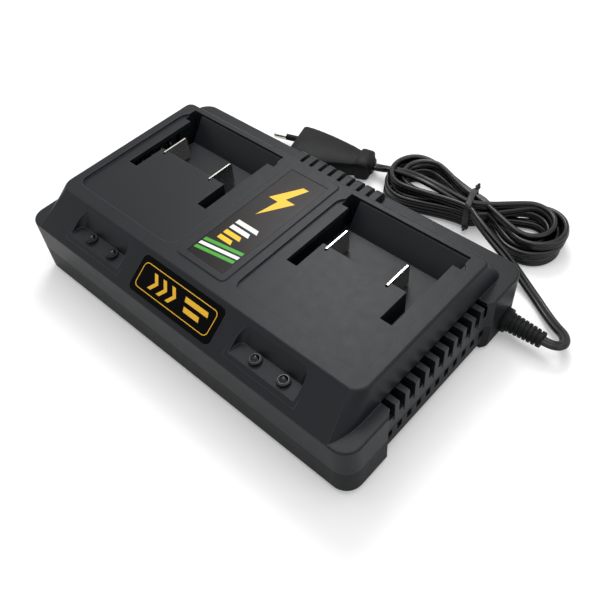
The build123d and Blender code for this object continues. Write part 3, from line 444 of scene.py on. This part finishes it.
def join(whole: BMesh, part: BMesh) -> None:
    """Add one built form to another, and free it."""
    mesh = bpy.data.meshes.new("part")
    part.to_mesh(mesh)
    part.free()
    whole.from_mesh(mesh)
    bpy.data.meshes.remove(mesh)


def circle(radius: float, count: int) -> list[Flat]:
    """Return the corners of a circle about the origin."""
    turns = [math.tau * k / count for k in range(count)]
    return [(radius * math.cos(turn), radius * math.sin(turn)) for turn in turns]


def round_rect(half_x: float, half_y: float, radius: float, steps: int = 6) -> list[Flat]:
    """Return the corners of a rectangle with rounded corners."""
    points = []
    for quarter, (sx, sy) in enumerate(((1, 1), (-1, 1), (-1, -1), (1, -1))):
        for i in range(steps + 1):
            angle = math.pi / 2 * (quarter + i / steps)
            points.append((sx * (half_x - radius) + radius * math.cos(angle),
                           sy * (half_y - radius) + radius * math.sin(angle)))
    return points


class Repeat:
    """A Geometry Nodes tree that sets one small form on every given place."""

    def __init__(self, name: str) -> None:
        """Build the tree with its named inputs.

        Args:
            name: The tree's name.
        """
        tree = bpy.data.node_groups.new(name, "GeometryNodeTree")
        for label, kind in (("Places", "Geometry"), ("Form", "Object"), ("Size", "Float"),
                            ("Turn", "Float"), ("Seed", "Int"), ("Finish", "Material")):
            tree.interface.new_socket(label, in_out="INPUT", socket_type="NodeSocket" + kind)
        tree.interface.new_socket("Result", in_out="OUTPUT", socket_type="NodeSocketGeometry")
        given = add(tree, "NodeGroupInput").outputs
        form = add(tree, "GeometryNodeObjectInfo", Object=given["Form"])
        back = add(tree, "ShaderNodeMath", {"operation": "MULTIPLY"}, i0=given["Turn"], i1=-1.0)
        chance = add(tree, "FunctionNodeRandomValue", {"data_type": "FLOAT"}, i2=back.outputs[0],
                     i3=given["Turn"], Seed=given["Seed"])
        spin = add(tree, "ShaderNodeCombineXYZ", Z=chance.outputs[1])
        placed = add(tree, "GeometryNodeInstanceOnPoints", Points=given["Places"],
                     Instance=form.outputs["Geometry"], Rotation=spin.outputs[0], Scale=given["Size"])
        real = add(tree, "GeometryNodeRealizeInstances", Geometry=placed.outputs[0])
        dressed = add(tree, "GeometryNodeSetMaterial", Geometry=real.outputs[0], Material=given["Finish"])
        add(tree, "NodeGroupOutput", i0=dressed.outputs[0])
        self.tree = tree

    def run(self, name: str, places: list[Point], form: Mesh, values: dict[str, object]) -> Mesh:
        """Run the tree once and return the plain mesh that it makes.

        Args:
            name: The mesh's name.
            places: Where the form stands.
            form: The small form, about its own origin.
            values: The other named inputs.

        Returns:
            One mesh with every copy in it.
        """
        base = bpy.data.meshes.new(name + "_places")
        base.from_pydata([Vector(p) * MM for p in places], [], [])
        holder = put(name + "_places", base)
        unit = put(name + "_form", form)
        modifier = holder.modifiers.new("repeat", "NODES")
        modifier.node_group = self.tree
        keys = {item.name: item.identifier for item in self.tree.interface.items_tree if item.in_out == "INPUT"}
        for label, value in {"Form": unit, **values}.items():
            modifier[keys[label]] = value
        graph = bpy.context.evaluated_depsgraph_get()
        mesh = bpy.data.meshes.new_from_object(holder.evaluated_get(graph), depsgraph=graph)
        mesh.name = name
        holder.modifiers.remove(modifier)
        for obj in (holder, unit):
            bpy.data.objects.remove(obj)
        return mesh


# ---- printed art
@dataclass
class FlatArt:
    """Generic printed shapes on a flat face.

    Args:
        place: Matrix from the face's own plane to the charger's frame.
        slot: The slot of its inks; not used.
        lift: Thickness of the print.
    """

    place: Matrix
    slot: str
    lift: float = 0.05

    def print_shape(self, name: str, outline: list[Flat], finish: Material,
                    hole: list[Flat] | None = None) -> Object:
        """Print one closed shape on the face.

        Args:
            name: The piece's name.
            outline: Corners of the shape.
            finish: Its ink.
            hole: Corners of an inner outline with as many corners, for a frame shape.

        Returns:
            The printed piece.
        """
        rings = [[Vector((x, y, z)) for x, y in outline] for z in (0.0, self.lift)]
        if hole is not None:
            rings += [[Vector((x, y, z)) for x, y in hole] for z in (self.lift, 0.0)]
        plate = loft(rings, closed=hole is not None)
        plate.transform(Matrix.Scale(MM, 4) @ self.place)
        return new_piece(to_mesh(name, plate), finish)


@dataclass
class LabelPrint:
    """The label's generic print: a bolt, charge bars and slanted bands.

    Args:
        library: The finishes.
        bar_pitch: Step from bar to bar.
        band_pitch: Step from band to band.
    """

    library: Library
    bar_pitch: float = 4.2
    band_pitch: float = 3.1

    def build(self) -> Pieces:
        """Print every shape of the label and return the pieces."""
        art = FlatArt(Matrix.Translation((0.0, sum(LABEL_Y) / 2, LABEL_TOP)), "label_print")
        inks = {name: self.library.get(name) for name in ("white_ink", "yellow_ink", "green_ink")}
        bolt = [(2.2, 30.0), (-7.4, 14.5), (-1.2, 14.5), (-3.8, 1.0), (7.2, 18.1), (0.9, 18.1), (6.0, 30.0)]
        made = [art.print_shape("label_bolt", bolt, inks["yellow_ink"])]
        for i in range(4):
            y = -9.5 - self.bar_pitch * i
            right = 7.4 - 1.8 * i
            bar = [(-7.4, y), (right, y), (right - 1.2, y + 2.7), (-7.4, y + 2.7)]
            made.append(art.print_shape(f"label_bar_{i}", bar, inks["white_ink" if i < 2 else "yellow_ink"]))
        edge = LABEL_HALF - 0.9
        for i, ink in enumerate(("green_ink", "white_ink", "green_ink")):
            y = -33.6 + self.band_pitch * i
            band = [(-edge, y), (edge, y + 3.6), (edge, y + 5.6), (-edge, y + 2.0)]
            made.append(art.print_shape(f"label_band_{i}", band, inks[ink]))
        return made


@dataclass
class BadgePrint:
    """The badge's generic print: a gold frame, a row of chevrons and two bars.

    Args:
        library: The finishes.
        chevrons: Number of chevrons.
        pitch: Step from one to the next.
    """

    library: Library
    chevrons: int = 3
    pitch: float = 6.4

    def build(self) -> Pieces:
        """Print every shape of the badge and return the pieces."""
        rise = Matrix.Rotation(PANEL_SLOPE, 4, "X")
        place = Matrix.Translation(PANEL_MID) @ rise @ Matrix.Translation((0.0, 0.0, BADGE_PROUD))
        art = FlatArt(place, "label_print")
        gold = self.library.get("gold")
        made = [art.print_shape("badge_frame", round_rect(25.6, 6.6, 2.6), gold, round_rect(25.2, 6.2, 2.3))]
        arrow = [(0.0, 4.0), (2.4, 4.0), (5.4, 0.0), (2.4, -4.0), (0.0, -4.0), (3.0, 0.0)]
        unit = loft([[Vector((x, y, z)) * MM for x, y in arrow] for z in (0.0, art.lift)])
        row = Repeat("chevron row").run(
            "badge_chevrons", [(-17.5 + self.pitch * i, 0.0, 0.0) for i in range(self.chevrons)],
            to_mesh("chevron", unit), {"Size": 1.0, "Turn": 0.0, "Seed": 1, "Finish": gold},
        )
        scale = Matrix.Scale(MM, 4)
        row.transform(scale @ place @ scale.inverted())
        made.append(new_piece(row, gold))
        made.append(art.print_shape("badge_bar_long", [(6.0, 1.2), (21.5, 1.2), (20.6, 3.6), (5.1, 3.6)], gold))
        made.append(art.print_shape("badge_bar_short", [(7.8, -3.2), (18.2, -3.2), (17.3, -0.8), (6.9, -0.8)],
                                    gold))
        return made


# ---- repeated small parts
@dataclass
class LampCores:
    """The silvered cup and the post inside each clear lamp.

    Args:
        library: The finishes.
        foot: Height of the cup's foot.
        cup: Radii of the cup at its foot and its rim.
        tall: Height of the cup.
        post_x: Distance of the second post from the cup's axis.
        low: Level of the posts' ends, from the cup's foot.
    """

    library: Library
    foot: float = 40.6
    cup: Flat = (0.4, 0.85)
    tall: float = 1.1
    post_x: float = 1.25
    low: float = -5.0

    def build(self) -> Pieces:
        """Set one core in each lamp and return the piece."""
        rim, top = self.cup[1], self.tall
        profile = [(0.05, self.low), (0.42, self.low), (self.cup[0], 0.0), (rim, top), (rim - 0.15, top),
                   (0.35, 0.15), (0.3, 0.5), (0.05, 0.5)]
        core = loft([[Vector((x, y, z)) * MM for x, y in circle(radius, 20)] for radius, z in profile])
        corners = ((-0.2, -0.2), (0.2, -0.2), (0.2, 0.2), (-0.2, 0.2))
        join(core, loft([[Vector((self.post_x + x, y, z)) * MM for x, y in corners] for z in (self.low, -0.4)]))
        places = [(side * BAY_X + dx, LAMP_Y, self.foot) for side in (-1, 1) for dx in LAMP_DX]
        finish = self.library.get("die")
        mesh = Repeat("lamp cores").run(
            "lamp_cores", places, to_mesh("core", core, smooth_below=40.0),
            {"Size": 1.0, "Turn": 0.6, "Seed": 7, "Finish": finish},
        )
        return [new_piece(mesh, finish)]


@dataclass
class CaseScrews:
    """The case screws with their crossed recess, seen from below.

    Args:
        library: The finishes.
        head_r: Radius of the head.
        head_z: Heights of the head's face and of its seat.
        shaft_r: Radius of the thread.
        shaft_top: Height of the screw's tip.
        arm: Half width and reach of the crossed recess.
        deep: Depth of the recess.
        dome: How far the rim lies behind the middle of the face.
        fine: Number of cells across the head.
        steps: Number of steps along the thread.
        root: Share of the radius that the thread's grooves keep.
    """

    library: Library
    head_r: float = 3.05
    head_z: Flat = (5.8, 8.0)
    shaft_r: float = 1.3
    shaft_top: float = 27.9
    arm: Flat = (0.42, 1.75)
    deep: float = 1.1
    dome: float = 0.7
    fine: int = 28
    steps: int = 36
    root: float = 0.82

    def head(self, mesh: BMesh) -> None:
        """Add the domed head, open towards the shaft, with the cross pressed into it."""
        count = self.fine
        grid = []
        for i in range(count + 1):
            row = []
            for j in range(count + 1):
                u, v = 2 * i / count - 1, 2 * j / count - 1
                x = u * math.sqrt(1 - v * v / 2) * self.head_r
                y = v * math.sqrt(1 - u * u / 2) * self.head_r
                across, along = sorted((abs(x), abs(y)))
                pressed = self.deep if across < self.arm[0] and along < self.arm[1] else 0.0
                fall = self.dome * ((x * x + y * y) / self.head_r ** 2) ** 2
                row.append(mesh.verts.new(Vector((x, y, self.head_z[0] + fall + pressed)) * MM))
            grid.append(row)
        for one, two in zip(grid, grid[1:]):
            for j in range(count):
                mesh.faces.new((one[j], one[j + 1], two[j + 1], two[j]))
        rim = grid[0][:-1] + [row[-1] for row in grid[:-1]] + grid[-1][:0:-1]
        rim += [row[0] for row in grid[:0:-1]]
        seat = [mesh.verts.new((v.co.x, v.co.y, self.head_z[1] * MM)) for v in rim]
        for a in range(len(rim)):
            b = (a + 1) % len(rim)
            mesh.faces.new((rim[a], rim[b], seat[b], seat[a]))
        mesh.faces.new(seat)

    def build(self) -> Pieces:
        """Set one screw in each boss and return the piece."""
        mesh = bmesh.new()
        self.head(mesh)
        foot = self.head_z[1] - 0.1
        rings = []
        for k in range(self.steps + 1):
            z = foot + (self.shaft_top - foot) * k / self.steps
            crest = 1.0 if k % 2 else self.root
            tip = 1.0 if k < self.steps - 3 else 0.25 * (self.steps + 1 - k)
            rings.append([Vector((x, y, z)) * MM for x, y in circle(self.shaft_r * crest * tip, 16)])
        join(mesh, loft(rings))
        finish = self.library.get("zinc")
        built = Repeat("case screws").run(
            "case_screw_set", [(x, y, 0.0) for x, y in SCREWS], to_mesh("screw", mesh, smooth_below=35.0),
            {"Size": 1.0, "Turn": math.pi / 2, "Seed": 3, "Finish": finish},
        )
        piece = new_piece(built, finish)
        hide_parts("case_screws")
        return [piece]


# ---- the cord
# From the relief to the tie, and from the tie to the plug.
LEAD: tuple[Stop, ...] = (
    (RELIEF_END, 84.0), ((139.2, 54.0, 10.3), 84.0), ((143.2, 59.0, 8.9), 80.0), ((140.2, 65.6, 7.0), 78.0),
    ((133.4, 69.6, 5.0), 78.0), ((125.0, 75.6, 3.0), 80.0), ((115.6, 81.8, 2.6), 80.0),
    ((105.4, 86.6, 4.4), 72.0), ((96.6, 89.2, 8.4), 60.0), ((88.0, 91.4, 11.8), 48.0),
    ((79.5, 93.8, 14.2), 38.0), ((71.0, 97.4, 15.3), 28.0), ((63.0, 101.6, 15.6), 16.0),
)
TAIL: tuple[Stop, ...] = (
    ((47.5, 107.2, 16.6), 20.0), ((38.0, 106.2, 18.4), 50.0), ((27.5, 106.0, 19.2), 68.0),
    ((17.0, 106.3, 18.3), 74.0), ((8.0, 107.4, 15.6), 78.0), ((0.0, 109.8, 11.4), 84.0),
)


@dataclass(frozen=True)
class Loop:
    """One loop of the coil, from one pass of the tie to the next.

    Args:
        middle: The centre of its arc in plan.
        radius: The arc's radius.
        height: Height of the strand at the far end of the loop.
        lean: How far its broad side leans from upright, in degrees.
        end: Place across and up the tie that it ends at.
    """

    middle: Flat
    radius: float
    height: float
    lean: float
    end: Flat


# Place across and up the tie of the first pass, and then the left and right loops in turn.
FIRST_PASS: Flat = (104.9, 15.4)
LOOPS = (
    Loop((15.4, 113.8), 15.6, 13.3, 14.0, (121.6, 9.9)),
    Loop((93.0, 118.2), 15.6, 13.4, -12.0, (104.6, 9.9)),
    Loop((17.0, 112.2), 18.2, 8.0, -8.0, (121.6, 4.5)),
    Loop((90.4, 117.2), 18.2, 8.1, 10.0, (104.6, 4.5)),
    Loop((14.8, 110.0), 15.8, 2.8, 5.0, (118.2, 4.5)),
    Loop((91.8, 115.2), 15.8, 2.8, -6.0, (108.0, 4.5)),
    Loop((17.2, 110.4), 12.6, 2.9, -10.0, (114.8, 4.5)),
    Loop((90.2, 115.4), 12.6, 2.9, 12.0, (111.4, 4.5)),
    Loop((19.4, 112.6), 12.3, 8.2, 16.0, (114.8, 9.9)),
    Loop((87.4, 117.6), 12.3, 8.3, -16.0, (111.4, 9.9)),
    Loop((18.0, 112.4), 15.3, 8.3, -12.0, (118.2, 9.9)),
    Loop((89.4, 117.4), 15.2, 8.3, 14.0, (108.0, 9.9)),
    Loop((20.4, 114.6), 12.4, 13.5, -20.0, (115.4, 15.0)),
    Loop((88.4, 118.8), 12.6, 13.7, 24.0, (108.3, 15.7)),
)


@dataclass
class MainsCord:
    """The flat two-core mains cord: one spline from the relief to the plug.

    Args:
        library: The finishes.
        plug_end: Where the cord enters the plug, and the way that it comes from there.
        wide: Width of its section.
        thick: Thickness of its section.
        groove: Depth of the groove between the cores.
        step: Turn between two points of a loop, in degrees.
        hold: Half the length that the tie keeps straight.
        settle: Share of its height and lean that a loop has at its ends, and the gain per share of its length.
        stops: The control points, each with its lean.
    """

    library: Library
    plug_end: tuple[Vector, Vector]
    wide: float = 5.3
    thick: float = 3.2
    groove: float = 0.55
    step: float = 30.0
    hold: float = 5.0
    settle: Flat = (0.55, 1.6)
    stops: list[Stop] = field(default_factory=list)

    def wind(self, loop: Loop, start: Flat, side: int) -> None:
        """Add the points of one loop.

        Args:
            loop: The loop.
            start: Place across and up the tie that it comes from.
            side: -1 for a left loop and 1 for a right one.
        """
        middle = Vector(loop.middle)
        angles = []
        for y, sign in ((start[0], side), (loop.end[0], -side)):
            reach = Vector((TIE_X + side * self.hold, y)) - middle
            spread = math.acos(loop.radius / reach.length)
            angles.append(math.atan2(reach.y, reach.x) + sign * spread)
        first, last = angles
        least = math.pi * 0.8
        while (last - first) * side < least:
            last += math.tau * side
        count = round(abs(last - first) / math.radians(self.step))
        for i in range(count + 1):
            share = i / count
            angle = first + (last - first) * share
            settled = min(1.0, self.settle[0] + self.settle[1] * min(share, 1.0 - share))
            from_z = start[1] if share < 0.5 else loop.end[1]
            height = from_z + (loop.height - from_z) * settled
            place = middle + loop.radius * Vector((math.cos(angle), math.sin(angle)))
            self.stops.append(((place.x, place.y, height), loop.lean * settled))

    def tied(self, place: Flat, going: int) -> None:
        """Add the two points that keep one pass straight under the tie."""
        for x in (TIE_X - going * self.hold, TIE_X + going * self.hold):
            self.stops.append(((x, *place), 0.0))

    def route(self) -> None:
        """Collect the control points of the whole cord, each with its lean."""
        self.stops.extend(LEAD)
        self.tied(FIRST_PASS, -1)
        start = FIRST_PASS
        for i, loop in enumerate(LOOPS):
            side = 1 if i % 2 else -1
            self.wind(loop, start, side)
            self.tied(loop.end, -side)
            start = loop.end
        self.stops.pop()
        self.stops.extend(TAIL)
        place, way = self.plug_end
        self.stops.extend((tuple(place + way * gap), 88.0) for gap in (7.0, 0.0))

    def centreline(self) -> list[Vector]:
        """Return the points of the cord's NURBS spline, in metres."""
        curve = bpy.data.curves.new("cord_route", "CURVE")
        curve.dimensions = "3D"
        curve.resolution_u = 6
        spline = curve.splines.new("NURBS")
        spline.points.add(len(self.stops) - 1)
        for point, (place, _) in zip(spline.points, self.stops):
            point.co = (*(Vector(place) * MM), 1.0)
        spline.order_u = 3
        spline.use_endpoint_u = True
        holder = bpy.data.objects.new("cord_route", curve)
        mesh = bpy.data.meshes.new_from_object(holder)
        line = [v.co.copy() for v in mesh.vertices]
        bpy.data.objects.remove(holder)
        bpy.data.meshes.remove(mesh)
        bpy.data.curves.remove(curve)
        return line

    def section(self) -> list[Flat]:
        """Return the corners of the two-core section: across its width, and across its thickness."""
        radius = self.thick / 2
        core = (self.wide - self.thick) / 2
        sides = 9
        half = []
        for i in range(sides):
            angle = -math.pi / 2 + math.pi * i / (sides - 1)
            half.append((core + radius * math.cos(angle), radius * math.sin(angle)))
        waist = radius - self.groove
        return [(0.0, -waist), *half, (0.0, waist), *[(-x, -y) for x, y in half]]

    def lean_at(self, share: float) -> float:
        """Return the lean at a share of the cord's points, in radians."""
        place = share * (len(self.stops) - 1)
        i = min(int(place), len(self.stops) - 2)
        low, high = self.stops[i][1], self.stops[i + 1][1]
        return math.radians(low + (high - low) * (place - i))

    def build(self, on_it: Pieces) -> Pieces:
        """Make the cord as a tube with its two-core section.

        Args:
            on_it: The pieces that it carries; not used.

        Returns:
            The cord's piece.
        """
        self.route()
        line = self.centreline()
        rings = []
        for i, place in enumerate(line):
            ahead = (line[min(i + 1, len(line) - 1)] - line[max(i - 1, 0)]).normalized()
            side = ahead.cross(Vector((0, 0, 1))).normalized()
            above = side.cross(ahead)
            lean = self.lean_at(i / (len(line) - 1))
            broad = (above * math.cos(lean) + side * math.sin(lean)) * MM
            thin = ahead.cross(broad)
            rings.append([place + broad * a + thin * b for a, b in self.section()])
        mesh = to_mesh("mains_cord", loft(rings), smooth_below=50.0)
        piece = new_piece(mesh, self.library.get("cord_pvc"))
        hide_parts("cord_lead", "cord_hank", "cord_tail")
        return [piece]


@dataclass
class CordTie:
    """The covered wire round the waist of the coil, with its twisted ends.

    Args:
        library: The finishes.
        wide: Width of the strip.
        thick: Its thickness.
        outline: Corners that it is drawn round, across and up the coil's waist.
        rounds: How often those corners are cut.
        slant: How far it drifts along the coil for each millimetre across it.
        middle: Place across the coil where it is at TIE_X.
        ripple: How much its width wavers, and how fast.
        ends: Foot and way of each twisted end.
        wire: Radius of one wire of an end.
        twist: Turn of the wires from point to point, in radians, with its rise and radius.
        points: Number of points along an end.
    """

    library: Library
    wide: float = 3.7
    thick: float = 1.0
    outline: tuple[Flat, ...] = (
        (102.2, 1.3), (113.0, 0.9), (123.9, 1.3), (124.2, 7.0), (123.6, 13.0), (118.6, 16.8), (113.2, 18.8),
        (107.6, 19.0), (103.4, 18.6), (102.2, 13.0), (101.9, 7.0),
    )
    rounds: int = 3
    slant: float = 0.34
    middle: float = 113.0
    ripple: Flat = (0.06, 0.9)
    ends: tuple[tuple[Point, Point], ...] = (
        ((50.6, 123.2, 13.4), (-0.1, 1.0, 0.5)), ((58.0, 102.8, 5.6), (0.1, -0.8, -0.6)),
    )
    wire: float = 0.9
    twist: Point = (0.62, 0.4, 0.75)
    points: int = 9

    def strand(self, points: list[Vector]) -> BMesh:
        """Return a round wire along the given points."""
        rings = []
        for i, place in enumerate(points):
            ahead = (points[min(i + 1, len(points) - 1)] - points[max(i - 1, 0)]).normalized()
            side = ahead.orthogonal().normalized()
            above = ahead.cross(side)
            rings.append([(place + (side * x + above * y) * self.wire) * MM for x, y in circle(1.0, 8)])
        return loft(rings)

    def build(self) -> Pieces:
        """Make the strip and its ends as one piece."""
        ring = [Vector(p) for p in self.outline]
        for _ in range(self.rounds):
            ring = [a.lerp(b, t) for a, b in zip(ring, ring[1:] + ring[:1]) for t in (0.25, 0.75)]
        rings = []
        for i, (y, z) in enumerate(ring):
            along = (ring[(i + 1) % len(ring)] - ring[i - 1]).normalized()
            out = Vector((along.y, -along.x))
            drift = TIE_X + self.slant * (self.middle - y)
            bulge = 1.0 + self.ripple[0] * math.sin(i * self.ripple[1])
            corners = round_rect(self.wide * bulge / 2, self.thick / 2, self.thick / 2.2, 2)
            rings.append([Vector((drift + x, y + out.x * t, z + out.y * t)) * MM for x, t in corners])
        built = loft(rings, closed=True)
        turn, rise, apart = self.twist
        for foot, way in self.ends:
            for phase in (0.0, math.pi):
                points = []
                for k in range(self.points):
                    spin = phase + k * turn
                    points.append(Vector(foot) + Vector(way).normalized() * k * rise
                                  + Vector((math.cos(spin), 0.0, math.sin(spin))) * apart)
                join(built, self.strand(points))
        mesh = to_mesh("cord_tie_wire", built, smooth_below=60.0)
        piece = new_piece(mesh, self.library.get("tie"))
        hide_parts("cord_tie")
        return [piece]


@dataclass
class MainsPlug:
    """The flat two-pin plug: its moulded body with the collar, and the pins' sleeves.

    Args:
        library: The finishes.
        seat: Middle of the pin face.
        turn: How far it points off the X axis, in degrees.
        stations: Distance from the pin face, half width, half thickness and corner cut of each section.
        sleeve: Radius and length of the pins' sleeves.
        pin_gap: Distance between the pins.
    """

    library: Library
    seat: Point = (-65.0, 93.0, 6.85)
    turn: float = 18.0
    stations: tuple[tuple[float, float, float, float], ...] = (
        (0.0, 16.4, 5.6, 2.4), (0.5, 17.2, 6.4, 2.6), (1.6, 17.6, 6.8, 2.8), (7.0, 17.2, 6.85, 3.0),
        (14.0, 16.0, 6.85, 3.2), (22.0, 14.2, 6.8, 3.4), (30.0, 12.2, 6.6, 3.6), (37.0, 10.2, 6.2, 3.4),
        (42.6, 8.2, 5.6, 3.0), (43.6, 8.0, 5.5, 2.8), (44.0, 8.5, 6.5, 2.6), (45.2, 8.8, 6.85, 2.8),
        (50.6, 8.4, 6.8, 2.9), (51.8, 8.0, 6.3, 2.8), (52.3, 6.6, 4.8, 2.4), (53.2, 5.2, 3.6, 1.8),
        (54.0, 4.6, 3.2, 1.6),
    )
    sleeve: Flat = (2.0, 10.0)
    pin_gap: float = 18.6

    def place(self) -> Matrix:
        """Return the matrix from the plug's own frame to the charger's."""
        return Matrix.Translation(self.seat) @ Matrix.Rotation(math.radians(self.turn), 4, "Z")

    def cord_end(self) -> tuple[Vector, Vector]:
        """Return where the cord enters, and the way that it comes from there."""
        place = self.place()
        inside = self.stations[-1][0] - 1.0
        return place @ Vector((inside, 0.0, 0.0)), place.to_3x3() @ Vector((1.0, 0.0, 0.0))

    def build(self) -> Pieces:
        """Make the body and its sleeves as one piece."""
        rings = []
        for along, wide, thick, cut in self.stations:
            corner = [(wide, thick - cut), (wide - 0.35 * cut, thick - 0.35 * cut), (wide - cut, thick)]
            half = corner + [(-y, z) for y, z in corner[::-1]]
            rings.append([Vector((along, y, z)) for y, z in half + [(-y, -z) for y, z in half]])
        built = loft(rings)
        radius, reach = self.sleeve
        for side in (-1, 1):
            middle = side * self.pin_gap / 2
            join(built, loft([[Vector((along, middle + y, z)) for y, z in circle(size, 24)] for along, size in
                              ((1.5, radius), (0.3 - reach, radius), (-reach, radius - 0.3))]))
        built.transform(Matrix.Scale(MM, 4) @ self.place())
        mesh = to_mesh("plug_shell", built, smooth_below=32.0)
        piece = new_piece(mesh, self.library.get("plug_pvc"))
        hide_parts("plug_body")
        return [piece]


# ---- stage, camera
@dataclass(frozen=True)
class View:
    """The camera's place and aim.

    Args:
        stand: Where it stands.
        aim: What it looks at.
        roll: Turn about its own axis, in degrees.
        lens: Focal length on a 36 mm sensor.
    """

    stand: Point = (200.25, -164.88, 292.48)
    aim: Point = (34.64, -9.72, 25.0)
    roll: float = 5.92
    lens: float = 42.67

    def build(self) -> None:
        """Add the scene's camera."""
        data = bpy.data.cameras.new("camera")
        data.lens = self.lens
        data.sensor_width = 36.0
        data.clip_start = 0.01
        obj = put("camera", data)
        look = (Vector(self.aim) - Vector(self.stand)).normalized()
        right = look.cross(Vector((0, 0, 1))).normalized()
        up = right.cross(look)
        roll = Matrix.Rotation(math.radians(self.roll), 3, look)
        axes = Matrix((roll @ right, roll @ up, -look)).transposed()
        obj.matrix_world = Matrix.Translation(Vector(self.stand) * MM) @ axes.to_4x4()
        bpy.context.scene.camera = obj


@dataclass(frozen=True)
class Lamp:
    """One soft studio light.

    Args:
        name: What it is for.
        stand: Where it stands.
        size: Its width and height.
        watts: Its power.
    """

    name: str
    stand: Point
    size: Flat
    watts: float

    def build(self) -> None:
        """Add the area light, aimed at the charger."""
        data = bpy.data.lights.new(self.name, "AREA")
        data.shape = "RECTANGLE"
        data.size = self.size[0] * MM
        data.size_y = self.size[1] * MM
        data.energy = self.watts
        obj = put(self.name, data)
        place = Vector(self.stand) * MM
        aim = Vector((0.0, 0.0, 20.0)) * MM - place
        obj.matrix_world = Matrix.Translation(place) @ aim.to_track_quat("-Z", "Y").to_matrix().to_4x4()


LAMPS = (
    Lamp("key", (0.0, 80.0, 900.0), (900.0, 800.0), 4.6),
    Lamp("sheen", (-360.0, 490.0, 800.0), (340.0, 340.0), 4.0),
    Lamp("front fill", (150.0, -700.0, 420.0), (900.0, 500.0), 0.9),
    Lamp("side", (700.0, 120.0, 420.0), (500.0, 500.0), 0.9),
)


@dataclass(frozen=True)
class Studio:
    """The white room: a pale floor that keeps the shadow, and a bright world.

    Args:
        room: How strongly the room lights what stands in it.
        lift: What the floor adds to itself near the charger, for the camera alone.
        fade: Distances between which that grows to full white, in metres.
        paper: The two colours that the floor drifts between.
        half: Half the floor's width, in metres.
    """

    room: float = 0.32
    lift: float = 0.24
    fade: Flat = (0.3, 0.9)
    paper: tuple[str, str] = ("e6e6e6", "eaeaea")
    half: float = 3.0

    def seen_ray(self, tree: NodeTree) -> NodeSocket:
        """Return one for rays that show the world, directly or by mirror or glass, and nought for its light."""
        ray = add(tree, "ShaderNodeLightPath").outputs
        seen = ray["Is Camera Ray"]
        for other in ("Is Transmission Ray", "Is Glossy Ray"):
            seen = add(tree, "ShaderNodeMath", {"operation": "MAXIMUM"}, i0=seen, i1=ray[other]).outputs[0]
        return seen

    def floor(self) -> None:
        """Lay the pale floor."""
        built = bmesh.new()
        bmesh.ops.create_grid(built, x_segments=2, y_segments=2, size=self.half)
        mesh = bpy.data.meshes.new("floor")
        built.to_mesh(mesh)
        built.free()
        obj = put("floor", mesh)
        material = new_material("white paper sweep")
        tree = material.node_tree
        place = add(tree, "ShaderNodeTexCoord").outputs["Object"]
        cloud = add(tree, "ShaderNodeTexNoise", Vector=place, Scale=5.5, Detail=2.0)
        tone = add(tree, "ShaderNodeMix", {"data_type": "RGBA"}, i0=cloud.outputs["Fac"],
                   i6=srgb(self.paper[0]), i7=srgb(self.paper[1]))
        paper = add(tree, "ShaderNodeBsdfPrincipled", Base_Color=tone.outputs[2], Roughness=0.9,
                    Specular_IOR_Level=0.1)
        seen = add(tree, "ShaderNodeLightPath").outputs["Is Camera Ray"]
        away = add(tree, "ShaderNodeVectorMath", {"operation": "LENGTH"}, i0=place).outputs["Value"]
        fade = add(tree, "ShaderNodeMapRange", Value=away, From_Min=self.fade[0],
                   From_Max=self.fade[1], To_Min=self.lift, To_Max=1.0).outputs[0]
        amount = add(tree, "ShaderNodeMath", {"operation": "MULTIPLY"}, i0=seen, i1=fade)
        glow = add(tree, "ShaderNodeEmission", Strength=amount.outputs[0])
        both = add(tree, "ShaderNodeAddShader", i0=paper.outputs[0], i1=glow.outputs[0])
        add(tree, "ShaderNodeOutputMaterial", Surface=both.outputs[0])
        mesh.materials.append(material)

    def build(self) -> None:
        """Add the floor, the world and the lights."""
        self.floor()
        world = bpy.data.worlds.new("studio")
        world.use_nodes = True
        tree = world.node_tree
        tree.nodes.clear()
        light = add(tree, "ShaderNodeBackground", Color=(1, 1, 1, 1), Strength=self.room)
        white = add(tree, "ShaderNodeBackground", Color=(1, 1, 1, 1), Strength=1.0)
        mix = add(tree, "ShaderNodeMixShader", i0=self.seen_ray(tree), i1=light.outputs[0],
                  i2=white.outputs[0])
        add(tree, "ShaderNodeOutputWorld", Surface=mix.outputs[0])
        bpy.context.scene.world = world
        for lamp in LAMPS:
            lamp.build()


def main() -> None:
    """Build the whole scene, sub-assembly by sub-assembly, and report each piece."""
    logging.basicConfig(level=logging.INFO)
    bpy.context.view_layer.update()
    bpy.context.scene.view_settings.view_transform = "Standard"
    View().build()
    library = Library()
    LOG.info("%d solids dressed", library.dress_cad())
    plug = MainsPlug(library)
    carried = plug.build() + CordTie(library).build()
    carried += [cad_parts[name] for name in ("plug_pin_near", "plug_pin_far", "strain_relief")]
    made = MainsCord(library, plug.cord_end()).build(carried) + carried[:2]
    for assembly in (LabelPrint(library), BadgePrint(library), LampCores(library), CaseScrews(library)):
        made += assembly.build()
    for piece in made:
        LOG.info("%s: %d faces", piece.name, len(piece.data.polygons))
    Studio().build()


if __name__ == "__main__":
    main()
